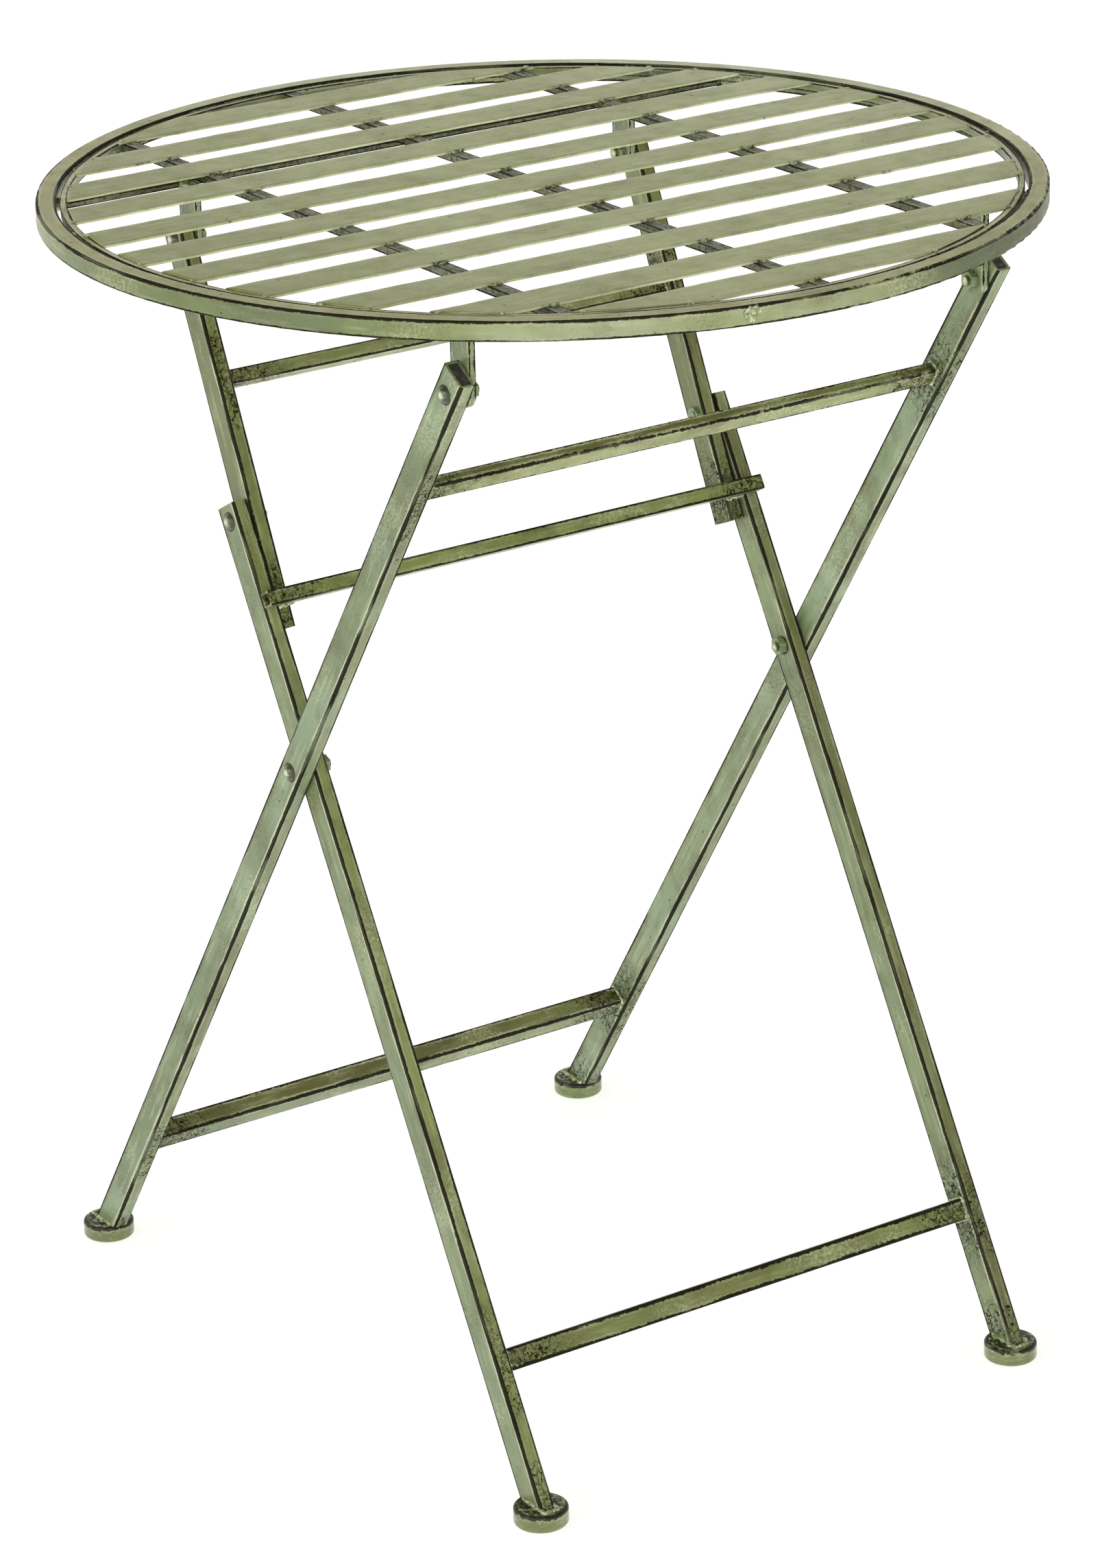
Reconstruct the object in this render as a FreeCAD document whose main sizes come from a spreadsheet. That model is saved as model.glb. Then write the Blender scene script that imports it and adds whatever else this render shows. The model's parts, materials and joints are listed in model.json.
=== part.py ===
"""Folding bistro table: a round slatted steel top on two crossed leg frames and a locking link frame.

The origin is on the floor under the middle of the top. Z is up, X runs along the pivots and the
slats, -Y is the front. Lengths are in millimetres and angles in degrees.

Each leg, and each link, is drawn in a frame of its own: local Z runs up along it and local X is the
pivot direction. A leg's local origin is the crossing bolt, and a link's is the knee bolt.
"""
import FreeCAD
import Part
import Sketcher
import math
import os

SIZES = (
    # The top
    ("top_height", 739, "floor to the upper face of the rim hoop"),
    ("hoop_radius", 300, "outer radius of the rim hoop"),
    ("hoop_bar", 12, "side of the hoop's square bar"),
    ("hoop_rounding", 1.4, "rounding of the hoop's edges"),
    ("ring_radius", 285.5, "outer radius of the ring that holds the slats"),
    ("ring_width", 4, "radial width of the slat ring"),
    ("ring_drop", 1, "upper face of the slat ring under that of the hoop"),
    ("slat_drop", 0.1, "upper face of the slats under that of the hoop"),
    ("slat_width", 30, "width of a slat"),
    ("slat_pitch", 50.7, "usual distance from slat to slat"),
    ("slat_thickness", 1.5, "thickness of a slat"),
    ("cross_width", 9, "width of a cross bar"),
    ("cross_thickness", 5, "thickness of a cross bar"),
    ("cross_pitch", 143.5, "distance from cross bar to cross bar"),
    ("cross_shift", -2.2, "middle cross bar from the middle of the top"),
    ("under_width", 12, "width of an under bar"),
    ("under_thickness", 3.5, "thickness of an under bar"),
    ("under_front", 189, "front under bar, forward of the middle of the top"),
    ("tack_diameter", 3, "tack weld between slat ring and hoop"),
    # The pivots
    ("crossing_y", -2.9, "crossing bolts, from the middle of the top"),
    ("crossing_z", 407.9, "crossing bolts, from the floor"),
    ("outer_lean", 33.26, "outer legs from upright, upper end forward"),
    ("inner_lean", 29.34, "inner legs from upright, upper end to the rear"),
    ("link_lean", 23.9, "links from upright, upper end to the rear"),
    ("outer_above", 333.7, "crossing bolt to front bolt along an outer leg"),
    ("outer_below", 483.1, "crossing bolt to the foot along an outer leg"),
    ("inner_above", 154.9, "crossing bolt to knee bolt along an inner leg"),
    ("inner_below", 463.4, "crossing bolt to the foot along an inner leg"),
    ("link_length", 172.8, "knee bolt to rear bolt along a link"),
    # The tubes
    ("tube_width", 10, "leg and link tube, along X"),
    ("tube_depth", 20, "leg and link tube, across X"),
    ("tube_wall", 1.5, "wall of every tube"),
    ("tube_rounding", 1.2, "rounding of the tubes' long edges"),
    ("outer_inside", 183, "inner face of an outer leg from the middle"),
    ("side_gap", 0.8, "gap between neighbours on one bolt"),
    ("outer_end", 15.5, "outer leg beyond the front bolt"),
    ("inner_end", 10, "inner leg beyond the knee bolt"),
    ("link_end", 10, "link beyond the rear bolt"),
    ("link_tail", 70, "link below the knee bolt"),
    ("rail_side", 13.5, "side of the leg frames' square lower rails"),
    ("upper_rail_depth", 8, "outer upper rail, from front to back"),
    ("upper_rail_height", 12, "outer upper rail, along the legs"),
    ("outer_rail_above", 250.9, "outer upper rail above the crossing"),
    ("outer_rail_below", 381.4, "outer lower rail below the crossing"),
    ("inner_rail_below", 371, "inner lower rail below the crossing"),
    ("link_bar_side", 9.5, "side of the link rail and of the stop bar"),
    ("link_rail_above", 83.5, "link rail above the knee"),
    ("link_rail_turn", 14, "link rail turned on its own axis, underside forward"),
    ("stop_above", 102.1, "stop bar above the crossing along an inner leg"),
    ("stop_clearance", 0.25, "stop bar from the inner legs' front faces"),
    ("stop_length", 364, "length of the stop bar"),
    ("stop_pad_depth", 6, "block from the stop bar back into a link's wall"),
    ("plug_recess", 0.9, "plug under the tube's end"),
    ("plug_length", 5, "length of a tube plug"),
    ("plug_play", 0.05, "plug from the tube's wall, each side"),
    # The brackets
    ("bracket_thickness", 4, "flat bar of the brackets, along X"),
    ("bracket_width", 19, "flat bar of the brackets, along Y"),
    # The feet
    ("foot_diameter", 33, "diameter of a foot"),
    ("foot_height", 11, "height of a foot"),
    ("foot_rounding", 1.8, "rounding of a foot's edges"),
    # The fasteners
    ("bolt_diameter", 6, "diameter of every bolt"),
    ("bore_play", 0.05, "clearance round a bolt"),
    ("head_diameter", 10.5, "diameter of a bolt's domed head"),
    ("head_height", 3, "height of a bolt's domed head"),
    ("nut_across", 10, "nut across its flats"),
    ("nut_height", 4.5, "height of a nut"),
    ("bolt_tail", 1.5, "bolt beyond its nut"),
    ("knee_nut_height", 2.5, "height of a knee nut"),
    ("knee_tail", 0.5, "stud beyond its knee nut"),
    ("washer_diameter", 13, "diameter of a washer"),
    ("washer_thickness", 0.5, "thickness of a washer"),
    ("knee_stand_off", 0.35, "knee bolt's end from the link"),
)
SLATS_EACH_SIDE = 5
SLAT_SHIFTS = (-3, -5, -1.5, 3.5, 4.5, 1, 0, 3, 0, -3.5, -3)  # each slat from its even place, by hand
TACKS = 12
SIDES = (("left", -1), ("right", 1))
CUTTER = 60.0  # side of the block that cuts a leg's lower end level
JOINT_GAP = 0.01  # air at each end of a tack weld, between it and the rings
MATCH = 0.01  # how near an edge must be to where it is looked for
CUTTING_FEATURES = ("PartDesign::Pocket", "PartDesign::SubtractiveBox")

# Sketches are drawn at these rough places, and their dimensions then set the real ones
ROUGH_HALF = 4
ROUGH_RADIUS = 280
ROUGH_SIDE = 10
ROUGH_BORE = 3
ROUGH_HEIGHT = 50

doc = FreeCAD.newDocument("BistroTable")
nodes = []


def make_sheet():
    """Driving dimensions, one row each: what it is, and its value under an alias."""
    sheet = doc.addObject("Spreadsheet::Sheet", "Sizes")
    for row, (alias, number, note) in enumerate(SIZES, start=1):
        sheet.set(f"A{row}", note)
        sheet.set(f"B{row}", str(number))
        sheet.setAlias(f"B{row}", alias)
    doc.recompute()
    return sheet


sizes = make_sheet()


def size(alias):
    return float(sizes.get(alias))


def bound(text):
    """An expression with each alias in it read from the sheet."""
    for alias, _, _ in SIZES:
        text = text.replace(f"[{alias}]", f"Sizes.{alias}")
    return text


# Places that follow from the sizes

def along(start, lean, distance):
    """The point at a distance up a leg or link, as (y, z); a forward lean is positive."""
    angle = math.radians(lean)
    return (start[0] - distance * math.sin(angle), start[1] + distance * math.cos(angle))


def offset(point, lean, distance):
    """A point moved forward, square to a leg or link, as (y, z)."""
    angle = math.radians(lean)
    return (point[0] - distance * math.cos(angle), point[1] - distance * math.sin(angle))


OUTER_LEAN = size("outer_lean")
INNER_LEAN = -size("inner_lean")
LINK_LEAN = -size("link_lean")
CROSSING = (size("crossing_y"), size("crossing_z"))
FRONT = along(CROSSING, OUTER_LEAN, size("outer_above"))
KNEE = along(CROSSING, INNER_LEAN, size("inner_above"))
REAR = along(KNEE, LINK_LEAN, size("link_length"))
TUBE = size("tube_width")
GAP = size("side_gap")
OUTER_MIDDLE = size("outer_inside") + TUBE / 2
INNER_MIDDLE = OUTER_MIDDLE - TUBE - GAP
LINK_MIDDLE = INNER_MIDDLE - TUBE - GAP
LINK_INSIDE = LINK_MIDDLE - TUBE / 2
FRONT_BRACKET_MIDDLE = size("outer_inside") - GAP - size("bracket_thickness") / 2
REAR_BRACKET_MIDDLE = LINK_INSIDE - GAP - size("bracket_thickness") / 2
SLAT_TOP = size("top_height") - size("slat_drop")
SLAT_FLOOR = SLAT_TOP - size("slat_thickness")
CROSS_FLOOR = SLAT_FLOOR - size("cross_thickness")
UNDER_FLOOR = CROSS_FLOOR - size("under_thickness")
RING_INSIDE = "[ring_radius] - [ring_width]"


def place(item, x=0.0, y=0.0, z=0.0, lean=0.0):
    turn = FreeCAD.Rotation(FreeCAD.Vector(1, 0, 0), lean)
    item.Placement = FreeCAD.Placement(FreeCAD.Vector(x, y, z), turn)


def keep(item, name):
    """Gives a finished sub-part its name and puts it on the list to be written."""
    item.Label = name
    nodes.append(item)
    return item


# Building blocks

def new_body(name):
    body = doc.addObject("PartDesign::Body", name)
    return keep(body, name)


def new_sketch(body, role):
    plane = next(item for item in body.Origin.OriginFeatures if item.Role == role)
    sketch = body.newObject("Sketcher::SketchObject", f"{body.Name}_sketch")
    sketch.AttachmentSupport = [(plane, "")]
    sketch.MapMode = "FlatFace"
    return sketch


def dimension(sketch, name, expression, *constraint):
    """Adds a dimension to a sketch and binds it to the sheet."""
    index = sketch.addConstraint(Sketcher.Constraint(*constraint))
    sketch.renameConstraint(index, name)
    sketch.setExpression(f"Constraints.{name}", bound(expression))


def add_four_sides(sketch, left, low, side):
    """Four joined upright and level lines, from the lower left corner; returns the first one's number."""
    right, high = left + side, low + side
    outline = ((left, low), (right, low), (right, high), (left, high))
    corners = [FreeCAD.Vector(*corner, 0) for corner in outline]
    lines = [Part.LineSegment(corners[i], corners[(i + 1) % 4]) for i in range(4)]
    first = sketch.addGeometry(lines, False)[0]
    for i in range(4):
        sketch.addConstraint(Sketcher.Constraint("Coincident", first + i, 2, first + (i + 1) % 4, 1))
    for i in (0, 2):
        sketch.addConstraint(Sketcher.Constraint("Horizontal", first + i))
        sketch.addConstraint(Sketcher.Constraint("Vertical", first + i + 1))
    return first


def add_rectangle(sketch, prefix, width, height):
    """A rectangle about the sketch's origin."""
    first = add_four_sides(sketch, -ROUGH_HALF, -ROUGH_HALF, 2 * ROUGH_HALF)
    sketch.addConstraint(Sketcher.Constraint("Symmetric", first, 1, first + 2, 1, -1, 1))
    dimension(sketch, f"{prefix}_width", width, "DistanceX", first, 1, first, 2, 2 * ROUGH_HALF)
    dimension(sketch, f"{prefix}_height", height, "DistanceY", first + 1, 1, first + 1, 2, 2 * ROUGH_HALF)


def add_circle(sketch, name, diameter, height=None):
    """A circle on the sketch's vertical axis, at a height above its origin."""
    centre = FreeCAD.Vector(0, 0 if height is None else ROUGH_HEIGHT, 0)
    circle = sketch.addGeometry(Part.Circle(centre, FreeCAD.Vector(0, 0, 1), ROUGH_BORE), False)
    if height is None:
        sketch.addConstraint(Sketcher.Constraint("Coincident", circle, 3, -1, 1))
    else:
        sketch.addConstraint(Sketcher.Constraint("PointOnObject", circle, 3, -2))
        dimension(sketch, f"{name}_height", height, "DistanceY", -1, 1, circle, 3, ROUGH_HEIGHT)
    dimension(sketch, f"{name}_diameter", diameter, "Diameter", circle, 2 * ROUGH_BORE)


def add_pad(body, sketch, length, length_below=None):
    """A pad up from its sketch and down from it, or to both sides alike."""
    pad = body.newObject("PartDesign::Pad", f"{body.Name}_pad")
    pad.Profile = sketch
    pad.SideType = "Symmetric" if length_below is None else "Two sides"
    pad.setExpression("Length", bound(length))
    if length_below is not None:
        pad.setExpression("Length2", bound(length_below))
    return pad


def add_cut_through(body, sketch):
    """A pocket through the whole body, to both sides of its sketch."""
    pocket = body.newObject("PartDesign::Pocket", f"{body.Name}_bores")
    pocket.Profile = sketch
    pocket.SideType = "Symmetric"
    pocket.Type = "ThroughAll"


def round_edges(body, radius, chosen):
    """Rounds the edges that the test picks out of the body so far."""
    doc.recompute()
    base = body.Tip
    names = [f"Edge{i}" for i, edge in enumerate(base.Shape.Edges, start=1) if chosen(edge)]
    fillet = body.newObject("PartDesign::Fillet", f"{body.Name}_rounding")
    fillet.Base = (base, names)
    fillet.setExpression("Radius", bound(radius))


def outer_long_edges(axis, half_sides):
    """A test for the outer long edges of a square-cornered tube along an axis."""
    across = [i for i in range(3) if i != axis]
    deepest = size("tube_depth")

    def chosen(edge):
        middle = edge.CenterOfMass
        ends = [vertex.Point for vertex in edge.Vertexes]
        runs = len(ends) == 2 and abs(ends[0][axis] - ends[1][axis]) > edge.Length - MATCH
        distances = [abs(abs(middle[i]) - half) for i, half in zip(across, half_sides)]
        return runs and edge.Length > deepest and max(distances) < MATCH
    return chosen


# The top

def make_hoop(name, radius, width, depth, top, rounding=None):
    """A flat-sided ring about the middle of the top, turned from its section."""
    body = new_body(name)
    sketch = new_sketch(body, "XZ_Plane")
    add_four_sides(sketch, ROUGH_RADIUS, 0, ROUGH_SIDE)
    sketch.addConstraint(Sketcher.Constraint("PointOnObject", 0, 1, -1))
    dimension(sketch, "section_width", width, "DistanceX", 0, 1, 0, 2, ROUGH_SIDE)
    dimension(sketch, "section_depth", depth, "DistanceY", 1, 1, 1, 2, ROUGH_SIDE)
    dimension(sketch, "outer_radius", radius, "DistanceX", -1, 1, 0, 2, ROUGH_RADIUS + ROUGH_SIDE)
    turned = body.newObject("PartDesign::Revolution", f"{name}_turned")
    turned.Profile = sketch
    turned.ReferenceAxis = (sketch, ["V_Axis"])
    turned.Angle = 360
    doc.recompute()
    if rounding:
        round_edges(body, rounding, lambda edge: edge.Curve.TypeId == "Part::GeomCircle")
    place(body, z=top - sketch.getDatum("section_depth").Value)
    return body


def make_trimmed_bar(name, across, thickness, radius, floor, middle, along_x):
    """A flat bar through the top, trimmed at both ends to a circle about the top's middle."""
    bar = doc.addObject("Part::Box", f"{name}_bar")
    limit = doc.addObject("Part::Cylinder", f"{name}_limit")
    limit.setExpression("Radius", bound(radius))
    limit.setExpression("Height", bound(thickness))
    place(limit, z=floor)
    long_side, short_side = ("Length", "Width") if along_x else ("Width", "Length")
    bar.setExpression(long_side, bound("2 * [hoop_radius]"))
    bar.setExpression(short_side, bound(across))
    bar.setExpression("Height", bound(thickness))
    doc.recompute()
    half_long = size("hoop_radius")
    half_short = getattr(bar, short_side).Value / 2
    if along_x:
        place(bar, -half_long, middle - half_short, floor)
    else:
        place(bar, middle - half_short, -half_long, floor)
    trimmed = doc.addObject("Part::Common", name)
    trimmed.Base = bar
    trimmed.Tool = limit
    return keep(trimmed, name)


def make_tacks():
    """Tack welds that bridge the gap between the slat ring and the hoop."""
    reach = f"[hoop_radius] - [hoop_bar] - [ring_radius] - 2 * {JOINT_GAP}"
    tacks = []
    for i in range(TACKS):
        tack = doc.addObject("Part::Cylinder", f"ring_tack_{i + 1:02d}")
        tack.setExpression("Radius", bound("[tack_diameter] / 2"))
        tack.setExpression("Height", bound(reach))
        angle = 360 * (i + 0.5) / TACKS
        turn = FreeCAD.Rotation(FreeCAD.Vector(0, 0, 1), angle)
        outward = turn.multiply(FreeCAD.Rotation(FreeCAD.Vector(0, 1, 0), 90))
        level = size("top_height") - size("ring_drop") - size("tack_diameter") / 2
        start = turn.multVec(FreeCAD.Vector(size("ring_radius") + JOINT_GAP, 0, level))
        tack.Placement = FreeCAD.Placement(start, outward)
        tacks.append(tack)
    group = doc.addObject("Part::Compound", "ring_tacks")
    group.Links = tacks
    return keep(group, "ring_tacks")


def make_bracket(name, x, pivot, beside=False):
    """A flat bar that hangs below an under bar, or beside it, round about its bolt at the lower end."""
    body = new_body(name)
    sketch = new_sketch(body, "YZ_Plane")
    radius = size("bracket_width") / 2
    top = (CROSS_FLOOR if beside else UNDER_FLOOR) - pivot[1]
    outline = ((radius, 0), (radius, top), (-radius, top), (-radius, 0))
    points = [FreeCAD.Vector(*point, 0) for point in outline]
    for start, end in zip(points, points[1:]):
        sketch.addGeometry(Part.LineSegment(start, end), False)
    low = FreeCAD.Vector(0, -radius, 0)
    sketch.addGeometry(Part.Arc(points[3], low, points[0]), False)
    for i in range(2):
        sketch.addConstraint(Sketcher.Constraint("Coincident", i, 2, i + 1, 1))
    sketch.addConstraint(Sketcher.Constraint("Coincident", 2, 2, 3, 1))
    sketch.addConstraint(Sketcher.Constraint("Coincident", 3, 2, 0, 1))
    sketch.addConstraint(Sketcher.Constraint("Coincident", 3, 3, -1, 1))
    sketch.addConstraint(Sketcher.Constraint("Vertical", 0))
    sketch.addConstraint(Sketcher.Constraint("Horizontal", 1))
    sketch.addConstraint(Sketcher.Constraint("Vertical", 2))
    sketch.addConstraint(Sketcher.Constraint("PointOnObject", 0, 1, -1))
    dimension(sketch, "end_radius", "[bracket_width] / 2", "Radius", 3, radius)
    hung_from = "[top_height] - [slat_drop] - [slat_thickness] - [cross_thickness]"
    if not beside:
        hung_from += " - [under_thickness]"
    hanging = f"{hung_from} - {pivot[1]:.4f}"
    dimension(sketch, "hanging_height", hanging, "DistanceY", 0, 1, 0, 2, top)
    add_circle(sketch, "bore", "[bolt_diameter] + 2 * [bore_play]")
    add_pad(body, sketch, "[bracket_thickness]")
    place(body, x, *pivot)
    return body


# The leg frames and the link frame

def make_tube(name, above, below, bores, x, start, lean, stands=False):
    """A leg or link: a flat rectangular tube with cross bores, heights given from its own origin."""
    body = new_body(name)
    section = new_sketch(body, "XY_Plane")
    add_rectangle(section, "outer", "[tube_width]", "[tube_depth]")
    add_rectangle(section, "inner", "[tube_width] - 2 * [tube_wall]", "[tube_depth] - 2 * [tube_wall]")
    add_pad(body, section, above, below)
    round_edges(body, "[tube_rounding]", outer_long_edges(2, (TUBE / 2, size("tube_depth") / 2)))
    drilled = new_sketch(body, "YZ_Plane")
    for number, height in enumerate(bores):
        add_circle(drilled, f"bore{number}", "[bolt_diameter] + 2 * [bore_play]", height)
    add_cut_through(body, drilled)
    if stands:
        cut_level(body, start, lean)
    place(body, x, start[0], start[1], lean)
    return body


def cut_level(body, start, lean):
    """Cuts the lower end of a leaning tube level, where it stands on its foot."""
    cutter = body.newObject("PartDesign::SubtractiveBox", f"{body.Name}_level")
    for side in ("Length", "Width", "Height"):
        setattr(cutter, side, CUTTER)
    turn = FreeCAD.Rotation(FreeCAD.Vector(1, 0, 0), -lean)
    depth = (start[1] - size("foot_height")) / math.cos(math.radians(lean))
    corner = turn.multVec(FreeCAD.Vector(-CUTTER / 2, -CUTTER / 2, -CUTTER))
    cutter.Placement = FreeCAD.Placement(FreeCAD.Vector(0, 0, -depth) + corner, turn)


def make_rail(name, depth, height, length, point, lean):
    """A rectangular tube along X between the legs or links; its height leans with them."""
    body = new_body(name)
    section = new_sketch(body, "YZ_Plane")
    add_rectangle(section, "outer", depth, height)
    add_rectangle(section, "inner", f"{depth} - 2 * [tube_wall]", f"{height} - 2 * [tube_wall]")
    add_pad(body, section, length)
    doc.recompute()
    halves = [section.getDatum(f"outer_{side}").Value / 2 for side in ("width", "height")]
    round_edges(body, "[tube_rounding]", outer_long_edges(0, halves))
    place(body, 0, point[0], point[1], lean)
    return body


def make_plugs(name, middle, start, lean, end):
    """Plastic plugs, a little under the upper ends of a pair of legs."""
    plugs = []
    length = size("plug_length")
    foot = along(start, lean, end - size("plug_recess") - length)
    for side, sign in SIDES:
        plug = doc.addObject("Part::Box", f"{name}_{side}")
        plug.setExpression("Length", bound("[tube_width] - 2 * [tube_wall] - 2 * [plug_play]"))
        plug.setExpression("Width", bound("[tube_depth] - 2 * [tube_wall] - 2 * [plug_play]"))
        plug.setExpression("Height", bound("[plug_length]"))
        doc.recompute()
        corner = offset(foot, lean, plug.Width.Value / 2)
        place(plug, sign * middle - plug.Length.Value / 2, corner[0], corner[1], lean)
        plugs.append(plug)
    group = doc.addObject("Part::Compound", name)
    group.Links = plugs
    return keep(group, name)


def make_foot(name, x, y):
    """A round foot with rounded edges."""
    body = new_body(name)
    sketch = new_sketch(body, "XY_Plane")
    add_circle(sketch, "foot", "[foot_diameter]")
    add_pad(body, sketch, "[foot_height]", "0")
    round_edges(body, "[foot_rounding]", lambda edge: edge.Curve.TypeId == "Part::GeomCircle")
    place(body, x, y)
    return body


def make_stop_blocks():
    """Blocks that carry the stop bar on the links, cut to the links' front faces."""
    middle = along(CROSSING, INNER_LEAN, size("stop_above"))
    back = size("tube_depth") / 2 + size("stop_clearance")
    blocks = []
    for side, sign in SIDES:
        block = doc.addObject("Part::Box", f"stop_block_{side}_full")
        block.setExpression("Length", bound("[tube_width]"))
        block.setExpression("Width", bound("[stop_pad_depth]"))
        block.setExpression("Height", bound("[link_bar_side]"))
        low = along(middle, INNER_LEAN, -size("link_bar_side") / 2)
        corner = offset(low, INNER_LEAN, back)
        place(block, sign * LINK_MIDDLE - TUBE / 2, corner[0], corner[1], INNER_LEAN)
        fitted = doc.addObject("Part::Cut", f"stop_block_{side}")
        fitted.Base = block
        fitted.Tool = doc.getObject(f"link_{side}")
        blocks.append(fitted)
    group = doc.addObject("Part::Compound", "stop_blocks")
    group.Links = blocks
    return keep(group, "stop_blocks")


# The fasteners, each made at the right of the table and mirrored to the left

def mirrored_pair(name, item):
    other = doc.addObject("Part::Mirroring", f"{name}_left")
    other.Source = item
    other.Normal = FreeCAD.Vector(1, 0, 0)
    group = doc.addObject("Part::Compound", name)
    group.Links = [item, other]
    return keep(group, name)


def make_cylinder(name, radius, height, x, pivot):
    """A cylinder along X, from x towards the middle of the table."""
    cylinder = doc.addObject("Part::Cylinder", name)
    cylinder.setExpression("Radius", bound(radius))
    cylinder.setExpression("Height", bound(height))
    inward = FreeCAD.Rotation(FreeCAD.Vector(0, 1, 0), -90)
    cylinder.Placement = FreeCAD.Placement(FreeCAD.Vector(x, *pivot), inward)
    return cylinder


def make_bolts(name, face, length, pivot):
    """Domed bolts whose heads sit on the face at x and whose shanks run inward."""
    shank = make_cylinder(f"{name}_shank", "[bolt_diameter] / 2", length, face, pivot)
    ball = doc.addObject("Part::Sphere", f"{name}_ball")
    ball_radius = "(([head_diameter] / 2)^2 + [head_height]^2) / (2 * [head_height])"
    ball.setExpression("Radius", bound(ball_radius))
    doc.recompute()
    place(ball, face + size("head_height") - ball.Radius.Value, *pivot)
    crown = face + size("head_height")
    slab = make_cylinder(f"{name}_slab", "[head_diameter] / 2", "[head_height]", crown, pivot)
    dome = doc.addObject("Part::Common", f"{name}_dome")
    dome.Base = ball
    dome.Tool = slab
    bolt = doc.addObject("Part::Fuse", f"{name}_right")
    bolt.Base = dome
    bolt.Tool = shank
    return mirrored_pair(name, bolt)


def make_nut_bore(name, height, face, pivot):
    return make_cylinder(name, "[bolt_diameter] / 2 + [bore_play]", height, face, pivot)


def make_nuts(name, face, pivot, height="[nut_height]", stud=None):
    """Hexagon nuts inward of the face at x; a stud runs outward from a nut that holds one."""
    nut = doc.addObject("Part::Prism", f"{name}_hexagon")
    nut.Polygon = 6
    nut.setExpression("Circumradius", bound("[nut_across] / 2 / cos(30)"))
    nut.setExpression("Height", bound(height))
    inward = FreeCAD.Rotation(FreeCAD.Vector(0, 1, 0), -90)
    nut.Placement = FreeCAD.Placement(FreeCAD.Vector(face, *pivot), inward)
    if stud is None:
        whole = doc.addObject("Part::Cut", f"{name}_right")
        whole.Tool = make_nut_bore(f"{name}_thread", height, face, pivot)
    else:
        reach = f"{stud} + {height} + [knee_tail]"
        pin = make_cylinder(f"{name}_stud", "[bolt_diameter] / 2", reach, face, pivot)
        doc.recompute()
        inner_end = nut.Height.Value + size("knee_tail")
        pin.Placement.Base.x = face - inner_end + pin.Height.Value
        whole = doc.addObject("Part::Fuse", f"{name}_right")
        whole.Tool = pin
    whole.Base = nut
    return mirrored_pair(name, whole)


def make_washers(name, face, pivot):
    """Washers inward of the face at x."""
    disc = make_cylinder(f"{name}_disc", "[washer_diameter] / 2", "[washer_thickness]", face, pivot)
    washer = doc.addObject("Part::Cut", f"{name}_right")
    washer.Base = disc
    washer.Tool = make_nut_bore(f"{name}_bore", "[washer_thickness]", face, pivot)
    return mirrored_pair(name, washer)


# The whole table

def build_top():
    top = size("top_height")
    make_hoop("rim_hoop", "[hoop_radius]", "[hoop_bar]", "[hoop_bar]", top, "[hoop_rounding]")
    ring_depth = "[slat_thickness] + [cross_thickness] + [slat_drop] - [ring_drop]"
    make_hoop("slat_ring", "[ring_radius]", "[ring_width]", ring_depth, top - size("ring_drop"))
    make_tacks()
    for number, shift in enumerate(SLAT_SHIFTS):
        y = (number - SLATS_EACH_SIDE) * size("slat_pitch") + shift
        name = f"slat_{number + 1:02d}"
        make_trimmed_bar(name, "[slat_width]", "[slat_thickness]", RING_INSIDE, SLAT_FLOOR, y, True)
    for name, step in (("left", -1), ("middle", 0), ("right", 1)):
        x = size("cross_shift") + step * size("cross_pitch")
        make_trimmed_bar(
            f"cross_bar_{name}", "[cross_width]", "[cross_thickness]", RING_INSIDE, CROSS_FLOOR, x, False
        )
    behind_bracket = REAR[0] + (size("bracket_width") + size("under_width")) / 2
    for name, y in (("front", -size("under_front")), ("rear", behind_bracket)):
        make_trimmed_bar(
            f"under_bar_{name}", "[under_width]", "[under_thickness]", "[hoop_radius] - [hoop_bar]",
            UNDER_FLOOR, y, True
        )
    for side, sign in SIDES:
        make_bracket(f"front_bracket_{side}", sign * FRONT_BRACKET_MIDDLE, FRONT)
        make_bracket(f"rear_bracket_{side}", sign * REAR_BRACKET_MIDDLE, REAR, beside=True)


def build_outer_frame():
    for side, sign in SIDES:
        make_tube(
            f"outer_leg_{side}", "[outer_above] + [outer_end]", "[outer_below] + [foot_height]",
            (None, "[outer_above]"), sign * OUTER_MIDDLE, CROSSING, OUTER_LEAN, stands=True
        )
        foot = along(CROSSING, OUTER_LEAN, -size("outer_below"))
        make_foot(f"outer_foot_{side}", sign * OUTER_MIDDLE, foot[0])
    upper = along(CROSSING, OUTER_LEAN, size("outer_rail_above"))
    lower = along(CROSSING, OUTER_LEAN, -size("outer_rail_below"))
    make_rail(
        "outer_upper_rail", "[upper_rail_depth]", "[upper_rail_height]", "2 * [outer_inside]",
        upper, OUTER_LEAN
    )
    make_rail("outer_lower_rail", "[rail_side]", "[rail_side]", "2 * [outer_inside]", lower, OUTER_LEAN)
    end = size("outer_above") + size("outer_end")
    make_plugs("outer_leg_plugs", OUTER_MIDDLE, CROSSING, OUTER_LEAN, end)


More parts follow.
